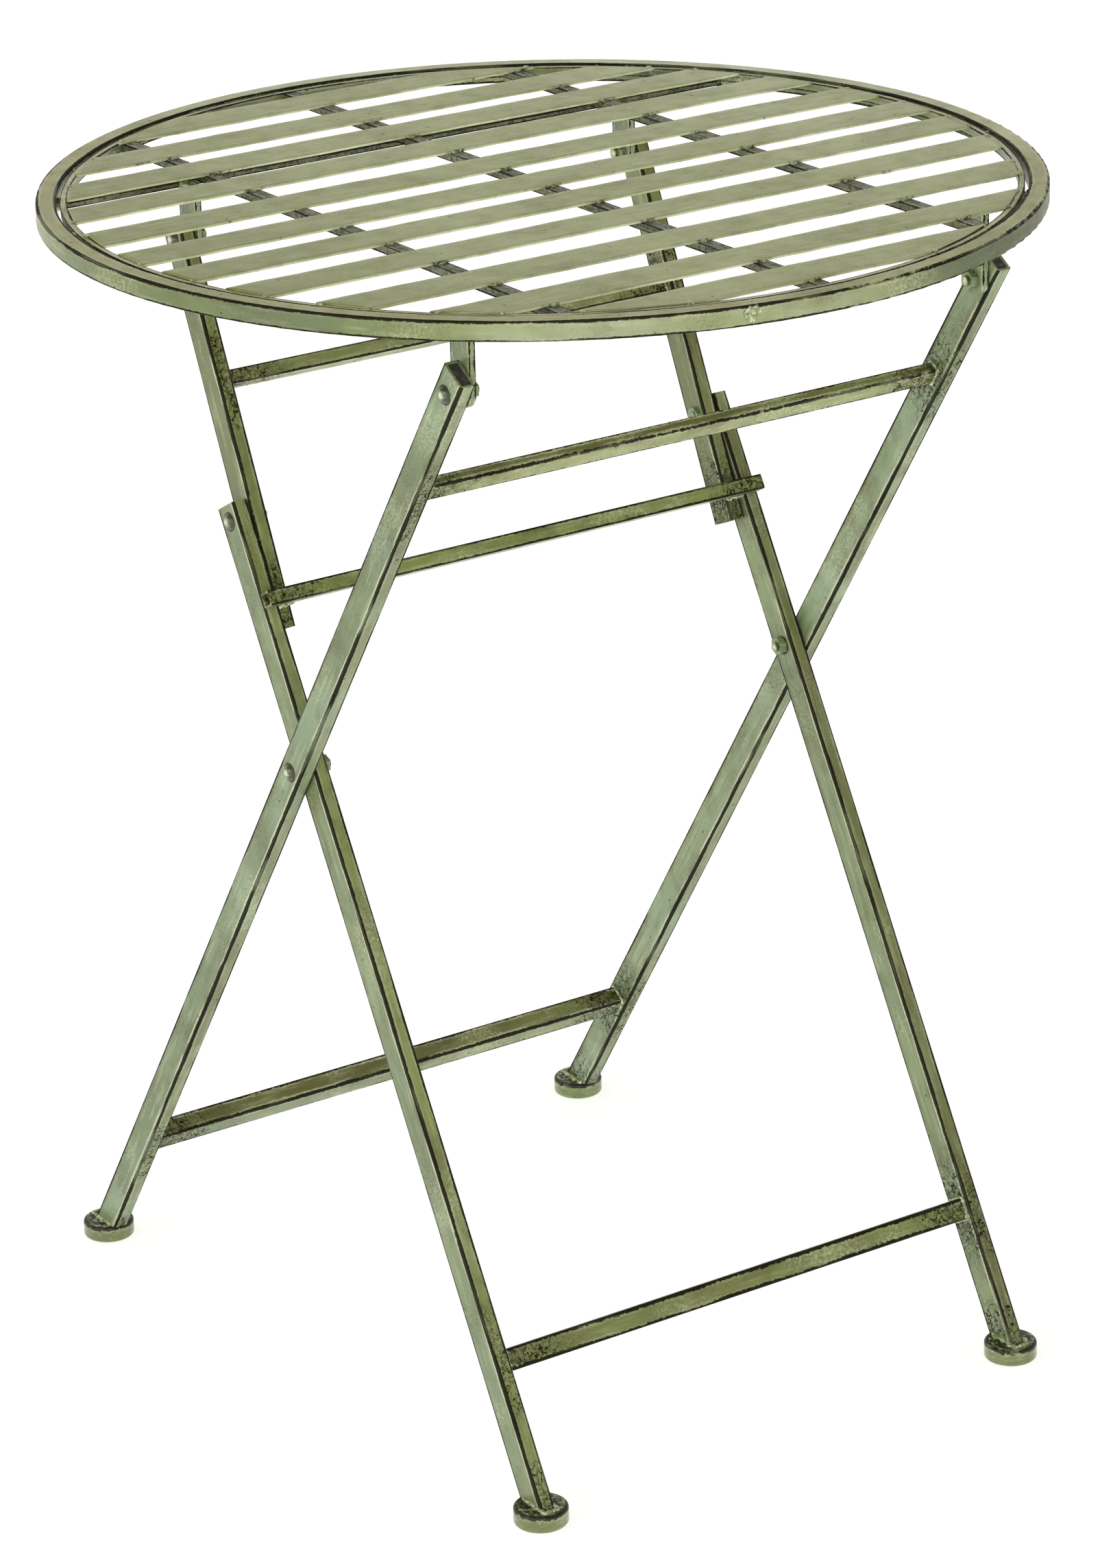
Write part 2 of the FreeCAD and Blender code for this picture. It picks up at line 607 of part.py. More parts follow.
def build_inner_frame():
    for side, sign in SIDES:
        make_tube(
            f"inner_leg_{side}", "[inner_above] + [inner_end]", "[inner_below] + [foot_height]",
            (None, "[inner_above]"), sign * INNER_MIDDLE, CROSSING, INNER_LEAN, stands=True
        )
        foot = along(CROSSING, INNER_LEAN, -size("inner_below"))
        make_foot(f"inner_foot_{side}", sign * INNER_MIDDLE, foot[0])
    inside = "2 * ([outer_inside] - [tube_width] - [side_gap])"
    lower = along(CROSSING, INNER_LEAN, -size("inner_rail_below"))
    make_rail("inner_lower_rail", "[rail_side]", "[rail_side]", inside, lower, INNER_LEAN)
    end = size("inner_above") + size("inner_end")
    make_plugs("inner_leg_plugs", INNER_MIDDLE, CROSSING, INNER_LEAN, end)


def build_link_frame():
    for side, sign in SIDES:
        make_tube(
            f"link_{side}", "[link_length] + [link_end]", "[link_tail]", (None, "[link_length]"),
            sign * LINK_MIDDLE, KNEE, LINK_LEAN
        )
    inside = "2 * ([outer_inside] - 2 * [tube_width] - 2 * [side_gap])"
    upper = along(KNEE, LINK_LEAN, size("link_rail_above"))
    turned = LINK_LEAN - size("link_rail_turn")
    make_rail("link_upper_rail", "[link_bar_side]", "[link_bar_side]", inside, upper, turned)
    forward = (size("tube_depth") + size("link_bar_side")) / 2 + size("stop_clearance")
    stop = offset(along(CROSSING, INNER_LEAN, size("stop_above")), INNER_LEAN, forward)
    make_rail("stop_bar", "[link_bar_side]", "[link_bar_side]", "[stop_length]", stop, INNER_LEAN)
    make_stop_blocks()


def build_fasteners():
    outer_face = OUTER_MIDDLE + TUBE / 2
    outer_inside = OUTER_MIDDLE - TUBE / 2
    inner_face = INNER_MIDDLE + TUBE / 2
    inner_inside = INNER_MIDDLE - TUBE / 2
    link_face = LINK_MIDDLE + TUBE / 2
    bracket_inside = "[tube_width] + [side_gap] + [bracket_thickness]"
    nut_stack = "[washer_thickness] + [nut_height] + [bolt_tail]"
    stand_off = size("side_gap") - size("washer_thickness")

    make_bolts("crossing_bolts", outer_face, f"2 * [tube_width] + [side_gap] + {nut_stack}", CROSSING)
    make_washers("crossing_washers", outer_inside, CROSSING)
    make_nuts("crossing_nuts", inner_inside - stand_off, CROSSING)

    make_bolts("front_bolts", outer_face, f"{bracket_inside} + {nut_stack}", FRONT)
    make_washers("front_washers", outer_inside, FRONT)
    front_inside = FRONT_BRACKET_MIDDLE - size("bracket_thickness") / 2
    make_nuts("front_nuts", front_inside - stand_off, FRONT)

    make_bolts("knee_bolts", inner_face, "[tube_width] + [side_gap] - [knee_stand_off]", KNEE)
    make_nuts("knee_nuts", LINK_INSIDE, KNEE, "[knee_nut_height]", stud="[tube_width]")

    make_bolts("rear_bolts", link_face, f"{bracket_inside} + {nut_stack}", REAR)
    make_washers("rear_washers", LINK_INSIDE, REAR)
    rear_inside = REAR_BRACKET_MIDDLE - size("bracket_thickness") / 2
    make_nuts("rear_nuts", rear_inside - stand_off, REAR)


def check_document():
    """Stops on a failed object, a sub-part without a sound solid, or a cut that took nothing away."""
    for item in doc.Objects:
        if "Invalid" in item.State or "Error" in item.State:
            raise RuntimeError(f"{item.Label} failed: {item.State}")
        if item.TypeId in CUTTING_FEATURES and item.Shape.Volume > item.BaseFeature.Shape.Volume - 1:
            raise RuntimeError(f"{item.Label} cut nothing")
    for item in nodes:
        if item.Shape.isNull() or not item.Shape.isValid() or not item.Shape.Solids:
            raise RuntimeError(f"{item.Label} has no valid solid")


def write_nodes():
    os.makedirs("parts", exist_ok=True)
    for item in nodes:
        item.Shape.exportStep(f"parts/{item.Label}.step")
        box = item.Shape.BoundBox
        print(
            f"{item.Label}: {len(item.Shape.Solids)} solid(s), {item.Shape.Volume:.0f} mm3, "
            f"x {box.XMin:.1f} to {box.XMax:.1f}, y {box.YMin:.1f} to {box.YMax:.1f}, "
            f"z {box.ZMin:.1f} to {box.ZMax:.1f}"
        )


build_top()
build_outer_frame()
build_inner_frame()
build_link_frame()
build_fasteners()
doc.recompute()
check_document()
write_nodes()
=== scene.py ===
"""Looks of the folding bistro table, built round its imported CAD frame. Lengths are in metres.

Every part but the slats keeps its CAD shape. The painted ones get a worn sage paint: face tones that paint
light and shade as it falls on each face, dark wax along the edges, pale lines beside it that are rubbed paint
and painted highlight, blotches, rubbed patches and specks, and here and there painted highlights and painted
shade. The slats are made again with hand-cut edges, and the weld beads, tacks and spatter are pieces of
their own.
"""
import json
import math
import random

import bmesh
import bpy
from mathutils import Matrix, Vector, noise


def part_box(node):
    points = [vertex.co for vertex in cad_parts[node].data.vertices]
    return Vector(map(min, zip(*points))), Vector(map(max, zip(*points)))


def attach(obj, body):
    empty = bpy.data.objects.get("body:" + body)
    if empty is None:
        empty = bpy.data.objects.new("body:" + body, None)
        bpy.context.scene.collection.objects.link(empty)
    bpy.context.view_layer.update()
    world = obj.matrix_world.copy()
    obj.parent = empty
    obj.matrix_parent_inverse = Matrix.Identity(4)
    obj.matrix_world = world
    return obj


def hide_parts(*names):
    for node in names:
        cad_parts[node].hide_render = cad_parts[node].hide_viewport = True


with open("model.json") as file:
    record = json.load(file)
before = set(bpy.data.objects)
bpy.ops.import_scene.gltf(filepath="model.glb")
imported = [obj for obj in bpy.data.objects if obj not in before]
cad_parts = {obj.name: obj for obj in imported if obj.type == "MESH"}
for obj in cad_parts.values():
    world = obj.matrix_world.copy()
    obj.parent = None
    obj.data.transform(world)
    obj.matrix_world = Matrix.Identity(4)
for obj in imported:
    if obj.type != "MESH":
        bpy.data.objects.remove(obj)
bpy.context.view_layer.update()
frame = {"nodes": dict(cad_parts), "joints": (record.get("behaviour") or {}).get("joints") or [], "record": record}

NODES = frame["nodes"]
BODY_OF = {
    node: body for body, nodes in frame["record"]["behaviour"]["bodies"].items() for node in nodes
}
MM = 0.001
SIDES = (-1, 1)


# Nodes and places, read from the frame

def named(starts="", ends=""):
    """The CAD nodes whose names start and end so, in order; each may be a tuple of choices."""
    return [node for node in sorted(NODES) if node.startswith(starts) and node.endswith(ends)]


def joint_place(name):
    """Where a joint's axis crosses the table's middle plane."""
    joint = next(item for item in frame["joints"] if item["name"] == name)
    return Vector(joint["pos_m"])


def middle(node):
    low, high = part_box(node)
    return (low + high) / 2


def half_size(node):
    low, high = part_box(node)
    return (high - low) / 2


def lean_between(low, high):
    """The lean of the line from a lower point to an upper one; the upper end forward is positive."""
    return math.atan2(low.y - high.y, high.z - low.z)


def up_along(start, lean, distance):
    """The point at a distance up a leaning line from its start."""
    return start + Vector((0, -math.sin(lean), math.cos(lean))) * distance


def height_along(start, lean, node):
    """How far up a leaning line from its start a node's middle is."""
    return (middle(node) - start).dot(up_along(Vector(), lean, 1))


CROSSING = joint_place("crossing_fold")
FRONT = joint_place("front_pivot")
REAR = joint_place("rear_pivot")
KNEE = Vector((0, middle("knee_bolts").y, middle("knee_bolts").z))
OUTER_LEAN = lean_between(CROSSING, FRONT)
INNER_LEAN = lean_between(CROSSING, KNEE)
LINK_LEAN = lean_between(KNEE, REAR)
OUTER_X = middle("outer_leg_right").x
INNER_X = middle("inner_leg_right").x
LINK_X = middle("link_right").x
TUBE_HALF = half_size("outer_leg_right").x
HOOP_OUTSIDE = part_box("rim_hoop")[1].x
HOOP_SIDE = half_size("rim_hoop").z * 2
HOOP_INSIDE = HOOP_OUTSIDE - HOOP_SIDE
HOOP_MIDDLE = HOOP_OUTSIDE - HOOP_SIDE / 2
HOOP_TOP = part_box("rim_hoop")[1].z
SLATS = [node for node in named("slat_") if node != "slat_ring"]
SLAT_WIDTH = half_size(SLATS[0]).y * 2
CROSS_BARS = [f"cross_bar_{place}" for place in ("left", "middle", "right")]
UNDER_BARS = ["under_bar_front", "under_bar_rear"]
BRACKETS = named(("front_bracket", "rear_bracket"))
FOOT_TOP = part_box("outer_foot_right")[1].z

# Half depth and half height of the leaning sections, which no box shows
TUBE_DEPTH_HALF = 10 * MM
RAIL_HALVES = (6.75 * MM, 6.75 * MM)
UPPER_RAIL_HALVES = (4 * MM, 6 * MM)
BAR_HALF = 4.75 * MM
BAR_HALVES = (BAR_HALF, BAR_HALF)
LINK_RAIL_TURN = math.radians(14)

RING_WIDTH = 4 * MM
RING_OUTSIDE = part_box("slat_ring")[1].x
RING_INSIDE = RING_OUTSIDE - RING_WIDTH

# What a corner's rounding takes off its two sides together, in millimetres
TUBE_CORNER = 0.7
HOOP_CORNER = 0.8
FOOT_CORNER = 1.0


# Colours

def srgb(red, green, blue):
    """A colour given in display values from 0 to 255, as linear RGBA."""
    def linear(value):
        value /= 255
        return value / 12.92 if value <= 0.04045 else ((value + 0.055) / 1.055) ** 2.4
    return (linear(red), linear(green), linear(blue), 1.0)


# Tones of a part's sides, fronts and tops differ as light falls on each: these paint light and shade. PALE also
# paints highlights, and WAX also paints shade.
SAGE = srgb(139, 152, 106)
BLUE_SAGE = srgb(121, 137, 101)
# Painted shade for the side of the left one of a pair of legs or links
LEFT_PAINTED_SHADE = srgb(92, 110, 68)
OUTER_SIDE = srgb(128, 145, 108)
OUTER_FRONT = srgb(128, 140, 94)
BLUE_LIGHT = srgb(150, 170, 140)
OLIVE = srgb(137, 148, 84)
INNER_RAIL_TONE = srgb(122, 131, 74)
DARK_OLIVE = srgb(96, 99, 56)
RAIL_TOP = srgb(110, 111, 66)
RAIL_LIGHT = srgb(157, 165, 113)
LINK_TONE = srgb(124, 136, 90)
LINK_RAIL_TONE = srgb(140, 146, 98)
HOOP_TONE = srgb(174, 172, 106)
HOOP_SIDE_TONE = srgb(116, 130, 90)
FOOT_SIDE = srgb(120, 136, 76)
SLAT_GREEN = srgb(170, 178, 116)
SLAT_OLIVE = srgb(147, 155, 86)
# Dark greens that paint the shade under the slats, on the bars and the ring's sides; the tacks and stop blocks
# take the first as well
UNDER_GREEN = srgb(62, 78, 52)
UNDER_SIDE = srgb(58, 72, 44)
PALE = srgb(216, 221, 184)
GREY_RUB = srgb(150, 150, 132)
WAX = srgb(22, 19, 12)
BROWN = srgb(88, 80, 50)
CHARCOAL = srgb(58, 52, 56)


# Node trees

class Nodes:
    """A node tree, with short ways to add the nodes that the paints and the sky share."""

    def __init__(self, tree):
        self.tree = tree

    def put(self, socket, value):
        """Links a socket to another's output, or sets its value."""
        if isinstance(value, bpy.types.NodeSocket):
            self.tree.links.new(value, socket)
        else:
            socket.default_value = value

    def add(self, kind, *values, **settings):
        """A node with its first inputs filled in order."""
        node = self.tree.nodes.new(f"ShaderNode{kind}")
        for name, setting in settings.items():
            setattr(node, name, setting)
        for socket, value in zip(node.inputs, values):
            self.put(socket, value)
        return node

    def calc(self, operation, *values, clamp=False):
        return self.add("Math", *values, operation=operation, use_clamp=clamp).outputs[0]

    def split(self, vector):
        return self.add("SeparateXYZ", vector).outputs

    def join(self, x, y, z):
        return self.add("CombineXYZ", x, y, z).outputs[0]

    def scaled(self, vector, factors):
        return self.add("VectorMath", vector, factors, operation="MULTIPLY").outputs[0]

    def noise(self, vector, scale=1.0, detail=2.0, roughness=0.5, shift=0.0):
        """A noise from 0 to 1; a shift makes it unlike another one of the same scale."""
        if shift:
            vector = self.add("VectorMath", vector, (shift,) * 3, operation="ADD").outputs[0]
        node = self.add("TexNoise")
        self.put(node.inputs["Vector"], vector)
        self.put(node.inputs["Scale"], scale)
        self.put(node.inputs["Detail"], detail)
        self.put(node.inputs["Roughness"], roughness)
        return node.outputs[0]

    def ease(self, value, low, high):
        """0 below low, 1 above high and smooth between; low above high turns it round."""
        if low > high:
            return self.calc("SUBTRACT", 1.0, self.ease(value, high, low))
        return self.add("MapRange", value, low, high, 0.0, 1.0, interpolation_type="SMOOTHSTEP").outputs[0]

    def mix(self, factor, first, second):
        node = self.add("Mix", data_type="RGBA")
        # A Mix node has a set of sockets for each type; these are the colour ones
        self.put(node.inputs[0], factor)
        self.put(node.inputs[6], first)
        self.put(node.inputs[7], second)
        return node.outputs[2]

    def chain(self, operation, values):
        """One operation over all the values, from the first to the last."""
        result = values[0]
        for value in values[1:]:
            result = self.calc(operation, result, value)
        return result

    def times(self, *values):
        return self.chain("MULTIPLY", values)

    def most(self, *values):
        return self.chain("MAXIMUM", values)

    def least(self, *values):
        return self.chain("MINIMUM", values)

    def away(self, value, place):
        """How far a value is from a place, on either side of it."""
        return self.calc("ABSOLUTE", self.calc("SUBTRACT", value, place))

    def radius(self, first, second):
        """How far a point is from the origin in the plane of two coordinates."""
        squares = [self.calc("POWER", value, 2.0) for value in (first, second)]
        return self.calc("SQRT", self.calc("ADD", *squares))


COAT_ROUGHNESS = 0.12
BUMP_DEPTH = 0.4 * MM


class Paint(Nodes):
    """A material under way: its nodes, its shader and the place that they are worked out for."""

    def __init__(self, name, metallic=0.0, coat=0.0):
        self.material = bpy.data.materials.new(name)
        self.material.use_nodes = True
        super().__init__(self.material.node_tree)
        self.shader = self.tree.nodes["Principled BSDF"]
        self.shader.inputs["Metallic"].default_value = metallic
        self.shader.inputs["Coat Weight"].default_value = coat
        self.shader.inputs["Coat Roughness"].default_value = COAT_ROUGHNESS
        self.place = self.add("TexCoord").outputs["Object"]

    def local(self, origin, lean=0.0):
        """Millimetres from an origin, in a frame that leans about X."""
        node = self.add("Mapping", self.place, origin, (lean, 0, 0), (MM, MM, MM), vector_type="TEXTURE")
        return node.outputs[0]

    def finish(self, colour, roughness, height, strength, depth=BUMP_DEPTH):
        """Sets the shader's colour, roughness and bump, and gives back the material."""
        self.put(self.shader.inputs["Base Color"], colour)
        self.put(self.shader.inputs["Roughness"], roughness)
        bump = self.add("Bump", strength, depth)
        self.put(bump.inputs["Height"], height)
        self.put(self.shader.inputs["Normal"], bump.outputs[0])
        return self.material


# Where on a part a paint is

class Spot:
    """What a paint needs to know of the place on a part: millimetres, edge distance, streaks, face."""

    def __init__(self, local, edge, streak, face):
        self.local = local
        self.edge = edge
        self.streak = streak
        self.face = face


# How quickly streaks change across a part and along it, to the millimetre
STREAK_ACROSS = 0.22
STREAK_ALONG = 0.02
BRACKET_STREAK_ALONG = 0.08
FOOT_STREAKS = (0.12, 0.12, 0.3)


def corner_distance(paint, first, first_half, second, second_half, corner=0.0):
    """The way from a section's nearest corner along its outline, and 1 on the faces the first axis meets.

    corner is what the corner's rounding takes off both sides together, in millimetres.
    """
    first_in = paint.calc("SUBTRACT", first_half, first)
    second_in = paint.calc("SUBTRACT", second_half, second)
    edge = paint.calc("SUBTRACT", paint.calc("ADD", first_in, second_in), corner)
    face = paint.ease(paint.calc("SUBTRACT", second_in, first_in), -0.2, 0.2)
    return edge, face


def upright_spot(paint, origin, lean, centre_x, half_x, half_y):
    """A bar along its own local Z at both sides of the table; the face mask is 1 on its side faces."""
    local = paint.local(origin, lean)
    x, y, _ = paint.split(local)
    from_middle = paint.away(paint.calc("ABSOLUTE", x), centre_x / MM)
    depth = paint.calc("ABSOLUTE", y)
    edge, face = corner_distance(paint, from_middle, half_x / MM, depth, half_y / MM, TUBE_CORNER)
    streak = paint.scaled(local, (STREAK_ACROSS, STREAK_ACROSS, STREAK_ALONG))
    return Spot(local, edge, streak, face)


def level_spot(paint, origin, lean, half_y, half_z):
    """A bar along X; the face mask is 1 on its upper and lower faces."""
    local = paint.local(origin, lean)
    _, y, z = paint.split(local)
    depth = paint.calc("ABSOLUTE", y)
    height = paint.calc("ABSOLUTE", z)
    edge, face = corner_distance(paint, height, half_z / MM, depth, half_y / MM, TUBE_CORNER)
    streak = paint.scaled(local, (STREAK_ALONG, STREAK_ACROSS, STREAK_ACROSS))
    return Spot(local, edge, streak, face)


def round_spot(paint, radius, half_width, level, half_height, corner):
    """A ring about the table's middle; the face mask is 1 on its upper and lower faces."""
    local = paint.local((0, 0, level))
    x, y, z = paint.split(local)
    reach = paint.radius(x, y)
    out = paint.away(reach, radius / MM)
    height = paint.calc("ABSOLUTE", z)
    edge, face = corner_distance(paint, height, half_height / MM, out, half_width / MM, corner)
    around = radius / MM * STREAK_ALONG
    streak = paint.join(
        paint.times(paint.calc("DIVIDE", x, reach), around),
        paint.times(paint.calc("DIVIDE", y, reach), around),
        paint.times(paint.calc("ADD", z, reach), STREAK_ACROSS),
    )
    return Spot(local, edge, streak, face)


def flat_bars_spot(paint, nodes, across, corner=0.0):
    """Flat bars side by side, from the nearest long edge of each; across is 0 for X and 1 for Y."""
    local = paint.local((0, 0, middle(nodes[0]).z))
    coordinates = paint.split(local)
    nearest = paint.least(*[paint.away(coordinates[across], middle(node)[across] / MM) for node in nodes])
    height = paint.calc("ABSOLUTE", coordinates[2])
    half = half_size(nodes[0])
    edge, face = corner_distance(paint, height, half.z / MM, nearest, half[across] / MM, corner)
    factors = [STREAK_ALONG, STREAK_ALONG, STREAK_ACROSS]
    factors[across] = STREAK_ACROSS
    return Spot(local, edge, paint.scaled(local, factors), face)


def bracket_spot(paint, node):
    """An upright flat bar; the face mask is 1 on its side faces."""
    half = half_size(node)
    local = paint.local(middle(node))
    x, y, _ = paint.split(local)
    aside, depth = paint.calc("ABSOLUTE", x), paint.calc("ABSOLUTE", y)
    edge, face = corner_distance(paint, aside, half.x / MM, depth, half.y / MM)
    return Spot(local, edge, paint.scaled(local, (STREAK_ACROSS, STREAK_ACROSS, BRACKET_STREAK_ALONG)), face)


# Paints

PAINT = {"metallic": 0.1, "coat": 0.12}

# Noises in a part's own millimetres and along its streaks: cycles to the unit, detail, roughness
CLOUDS = (0.012, 2.0)
STAINS = (0.013, 2.0)
RUB_PATCHES = (0.016, 2.0)
DIRT_PATCHES = (0.02, 2.0)
BLOTCHES = (0.07, 4.0, 0.65)
CRACKS = (0.09, 3.0, 0.6)
RAGGED = (0.4, 3.0, 0.7)
SPECKLES = (0.4, 4.0, 0.8)
SCUFFS = (0.55, 5.0, 0.8)
DIRT = (0.8, 4.0, 0.85)
GRAIN = (1.1, 3.0, 0.7)
RUNS = (1.0, 3.0, 0.6)
OTHER_RUNS = (1.3, 3.0, 0.6)
BREAKS = (0.8, 2.0)
SPECKS = 0.075


def patches(paint, spot, broad, shift, broad_range, fine, fine_range):
    """A mask of broad patches that are filled with a fine pattern."""
    patch = paint.ease(paint.noise(spot.local, *broad, shift=shift), *broad_range)
    return paint.times(patch, paint.ease(paint.noise(spot.local, *fine), *fine_range))


def wax_line(paint, spot, run, line, jag):
    """The wax along the edges: how wide it is in millimetres, and its mask."""
    unevenness = paint.times(paint.calc("SUBTRACT", paint.noise(spot.local, *RAGGED), 0.5), jag * 5)
    reach = paint.calc("MULTIPLY_ADD", paint.ease(run, 0.3, 0.6), 0.75 * line, 0.4 * line)
    width = paint.calc("ADD", reach, unevenness)
    inside = paint.calc("SUBTRACT", width, spot.edge)
    waxed = paint.calc("MULTIPLY_ADD", inside, 2.4, 0.5, clamp=True)
    unbroken = paint.ease(paint.noise(spot.streak, *BREAKS, shift=90.0), 0.36, 0.46)
    return width, paint.times(waxed, paint.calc("MULTIPLY_ADD", unbroken, 0.25, 0.75))


def specks(paint, spot, blotch):
    """A mask of small round specks, within the blotches only."""
    dots = paint.add("TexVoronoi", feature="F1")
    paint.put(dots.inputs["Vector"], spot.local)
    paint.put(dots.inputs["Scale"], SPECKS)
    return paint.times(paint.ease(dots.outputs["Distance"], 0.085, 0.05), paint.ease(blotch, 0.48, 0.52))


def wear(
    paint, spot, face_lighting_tone, other_lighting_tone, shift_tone, line=0.7, jag=0.5, rub=0.5, grime=0.5, stain=1.0,
    lit=1.0, smudges_and_shade=None, scratches_and_highlights=None
):
    """Worn paint on a part, from its two tones outward: they paint light and shade on its faces.

    line is how far the wax line reaches from an edge and jag how uneven it is, both in millimetres; rub
    and grime are the strength of the pale and the dirty patches, stain that of the broad dark clouds and
    lit that of the pale line beside the wax, which is rubbed paint and painted highlight; the last two masks
    darken and lighten places for reasons of their own: smudges and painted shade, such as round a bolt, and
    scratches and painted highlights.
    """
    blotch = paint.noise(spot.local, *BLOTCHES)
    run = paint.noise(spot.streak, *RUNS)
    other_run = paint.noise(spot.streak, *OTHER_RUNS, shift=40.0)

    # Painted light and shade: the faces that the mask picks get one tone, the others the other
    colour = paint.mix(spot.face, other_lighting_tone, face_lighting_tone)
    # Scratches and painted highlights turn pale
    if scratches_and_highlights is not None:
        colour = paint.mix(scratches_and_highlights, colour, PALE)
    clouds = paint.ease(paint.noise(spot.local, *CLOUDS), 0.4, 0.62)
    colour = paint.mix(paint.times(clouds, 0.5), colour, shift_tone)
    colour = paint.mix(paint.times(paint.ease(other_run, 0.5, 0.72), 0.22), colour, PALE)
    stained = paint.ease(paint.noise(spot.local, *STAINS, shift=500.0), 0.42, 0.62)
    dark_runs = paint.times(stained, paint.ease(run, 0.44, 0.66), 0.5 * stain)
    colour = paint.mix(dark_runs, colour, DARK_OLIVE)
    colour = paint.mix(paint.times(paint.ease(blotch, 0.46, 0.7), 0.4 * stain), colour, DARK_OLIVE)

    rubbed = paint.times(patches(paint, spot, RUB_PATCHES, 300.0, (0.53, 0.66), SCUFFS, (0.46, 0.6)), rub)
    colour = paint.mix(rubbed, colour, PALE)
    dirt = paint.times(patches(paint, spot, DIRT_PATCHES, 700.0, (0.49, 0.62), DIRT, (0.48, 0.6)), grime)
    colour = paint.mix(dirt, colour, BROWN)

    width, waxed = wax_line(paint, spot, run, line, jag)
    glaze = paint.times(paint.ease(spot.edge, 4.0, 0.0), paint.ease(blotch, 0.4, 0.65), 0.5 * stain)
    colour = paint.mix(glaze, colour, BROWN)
    # Pale line beside the wax: rubbed paint and a painted highlight, strongest on the faces that the mask picks
    highlight_beside_wax = paint.ease(paint.calc("SUBTRACT", spot.edge, width), 2.0, 0.5)
    strength = paint.times(paint.calc("MULTIPLY_ADD", spot.face, 0.5, 0.2), lit)
    colour = paint.mix(paint.times(highlight_beside_wax, paint.ease(other_run, 0.36, 0.54), strength), colour, PALE)

    inked = paint.most(waxed, paint.times(specks(paint, spot, blotch), 0.7))
    # Smudges and painted shade turn dark like the wax
    if smudges_and_shade is not None:
        inked = paint.most(inked, smudges_and_shade)
    colour = paint.mix(paint.times(inked, 0.96), colour, WAX)
    paint.put(paint.shader.inputs["Specular IOR Level"], paint.calc("MULTIPLY_ADD", inked, -0.5, 0.5))

    roughness = paint.calc("MULTIPLY_ADD", paint.calc("SUBTRACT", blotch, 0.5), 0.35, 0.36)
    roughness = paint.calc("MULTIPLY_ADD", inked, 0.25, roughness)
    roughness = paint.calc("MULTIPLY_ADD", paint.most(rubbed, dirt), 0.15, roughness, clamp=True)
    relief = paint.calc("MULTIPLY_ADD", paint.noise(spot.local, *GRAIN), 0.35, paint.times(blotch, 0.8))
    relief = paint.calc("MULTIPLY_ADD", waxed, -0.5, relief)
    return paint.finish(colour, roughness, relief, 0.3)


# Millimetres from a bolt's axis where the painted shade round it fades out, and where the painted shade at its
# head's rim starts
BOLT_SHADOW = (7.0, 6.0)
BOLT_RIM = (2.4, 3.3)
# How far the smudges reach from a weld
RAIL_SMUDGE = 60 * MM
LEG_SMUDGE = 50 * MM
# Where a link's lower smudge is, up from the knee: a little below the stop bar
LINK_HEEL = -60 * MM
# Millimetres from a leg's middle outward where the smudges fade out
SMUDGED_SIDE = (4.4, 3.0)


def bolt_shadow(paint, spot, heights):
    """Painted shade round the bolts, at heights along a leg or link in metres."""
    _, y, z = paint.split(spot.local)
    unevenness = paint.noise(spot.local, 0.6)
    rings = []
    for height in heights:
        reach = paint.radius(y, paint.calc("SUBTRACT", z, height / MM))
        rings.append(paint.ease(paint.calc("ADD", reach, unevenness), *BOLT_SHADOW))
    return paint.times(paint.most(*rings), spot.face, 0.9)


def smudge_at(paint, spot, along, places, reach, strength):
    """Dark speckles and cracks round places along a part, such as where a rail is welded on."""
    near = paint.most(*[paint.ease(paint.away(along, place / MM), reach / MM, 0.0) for place in places])
    speckle = paint.ease(paint.noise(spot.local, *SPECKLES), 0.45, 0.56)
    ripple = paint.noise(spot.local, *CRACKS, shift=150.0)
    cracks = paint.ease(paint.away(ripple, 0.5), 0.022, 0.008)
    return paint.most(paint.times(near, speckle, strength), paint.times(paint.ease(near, 0.1, 0.5), cracks))


def leg_paint(
    name, origin, lean, centre_x, bolts, welds, side_lighting_tone, front_lighting_tone, shift_tone, left_side_painted_shade, right_front_painted_shade,
    **amounts
):
    """Paint for a pair of legs or links, with bolts and welds at heights up from the origin.

    The two shade amounts are how much painted shade darkens the left one's side and the right one's front.
    """
    paint = Paint(name, **PAINT)
    spot = upright_spot(paint, origin, lean, centre_x, TUBE_HALF, TUBE_DEPTH_HALF)
    x, y, z = paint.split(spot.local)
    outward = paint.calc("SUBTRACT", paint.calc("ABSOLUTE", x), centre_x / MM)
    smudge = smudge_at(paint, spot, z, welds, LEG_SMUDGE, 0.7)
    smudges_and_shade = paint.most(
        bolt_shadow(paint, spot, bolts), paint.times(smudge, paint.ease(outward, *SMUDGED_SIDE))
    )
    # Painted shade: the left one's sides and the right one's fronts are darker
    side_lighting_tone = paint.mix(paint.times(paint.ease(x, 5.0, -5.0), left_side_painted_shade), side_lighting_tone, LEFT_PAINTED_SHADE)
    front_lighting_tone = paint.mix(paint.times(paint.ease(x, -5.0, 5.0), right_front_painted_shade), front_lighting_tone, DARK_OLIVE)
    # Painted highlight: the pale line beside the wax shows on the front half only
    front_highlight = paint.ease(y, 1.0, -1.0)
    return wear(paint, spot, side_lighting_tone, front_lighting_tone, shift_tone, lit=front_highlight, smudges_and_shade=smudges_and_shade, **amounts)


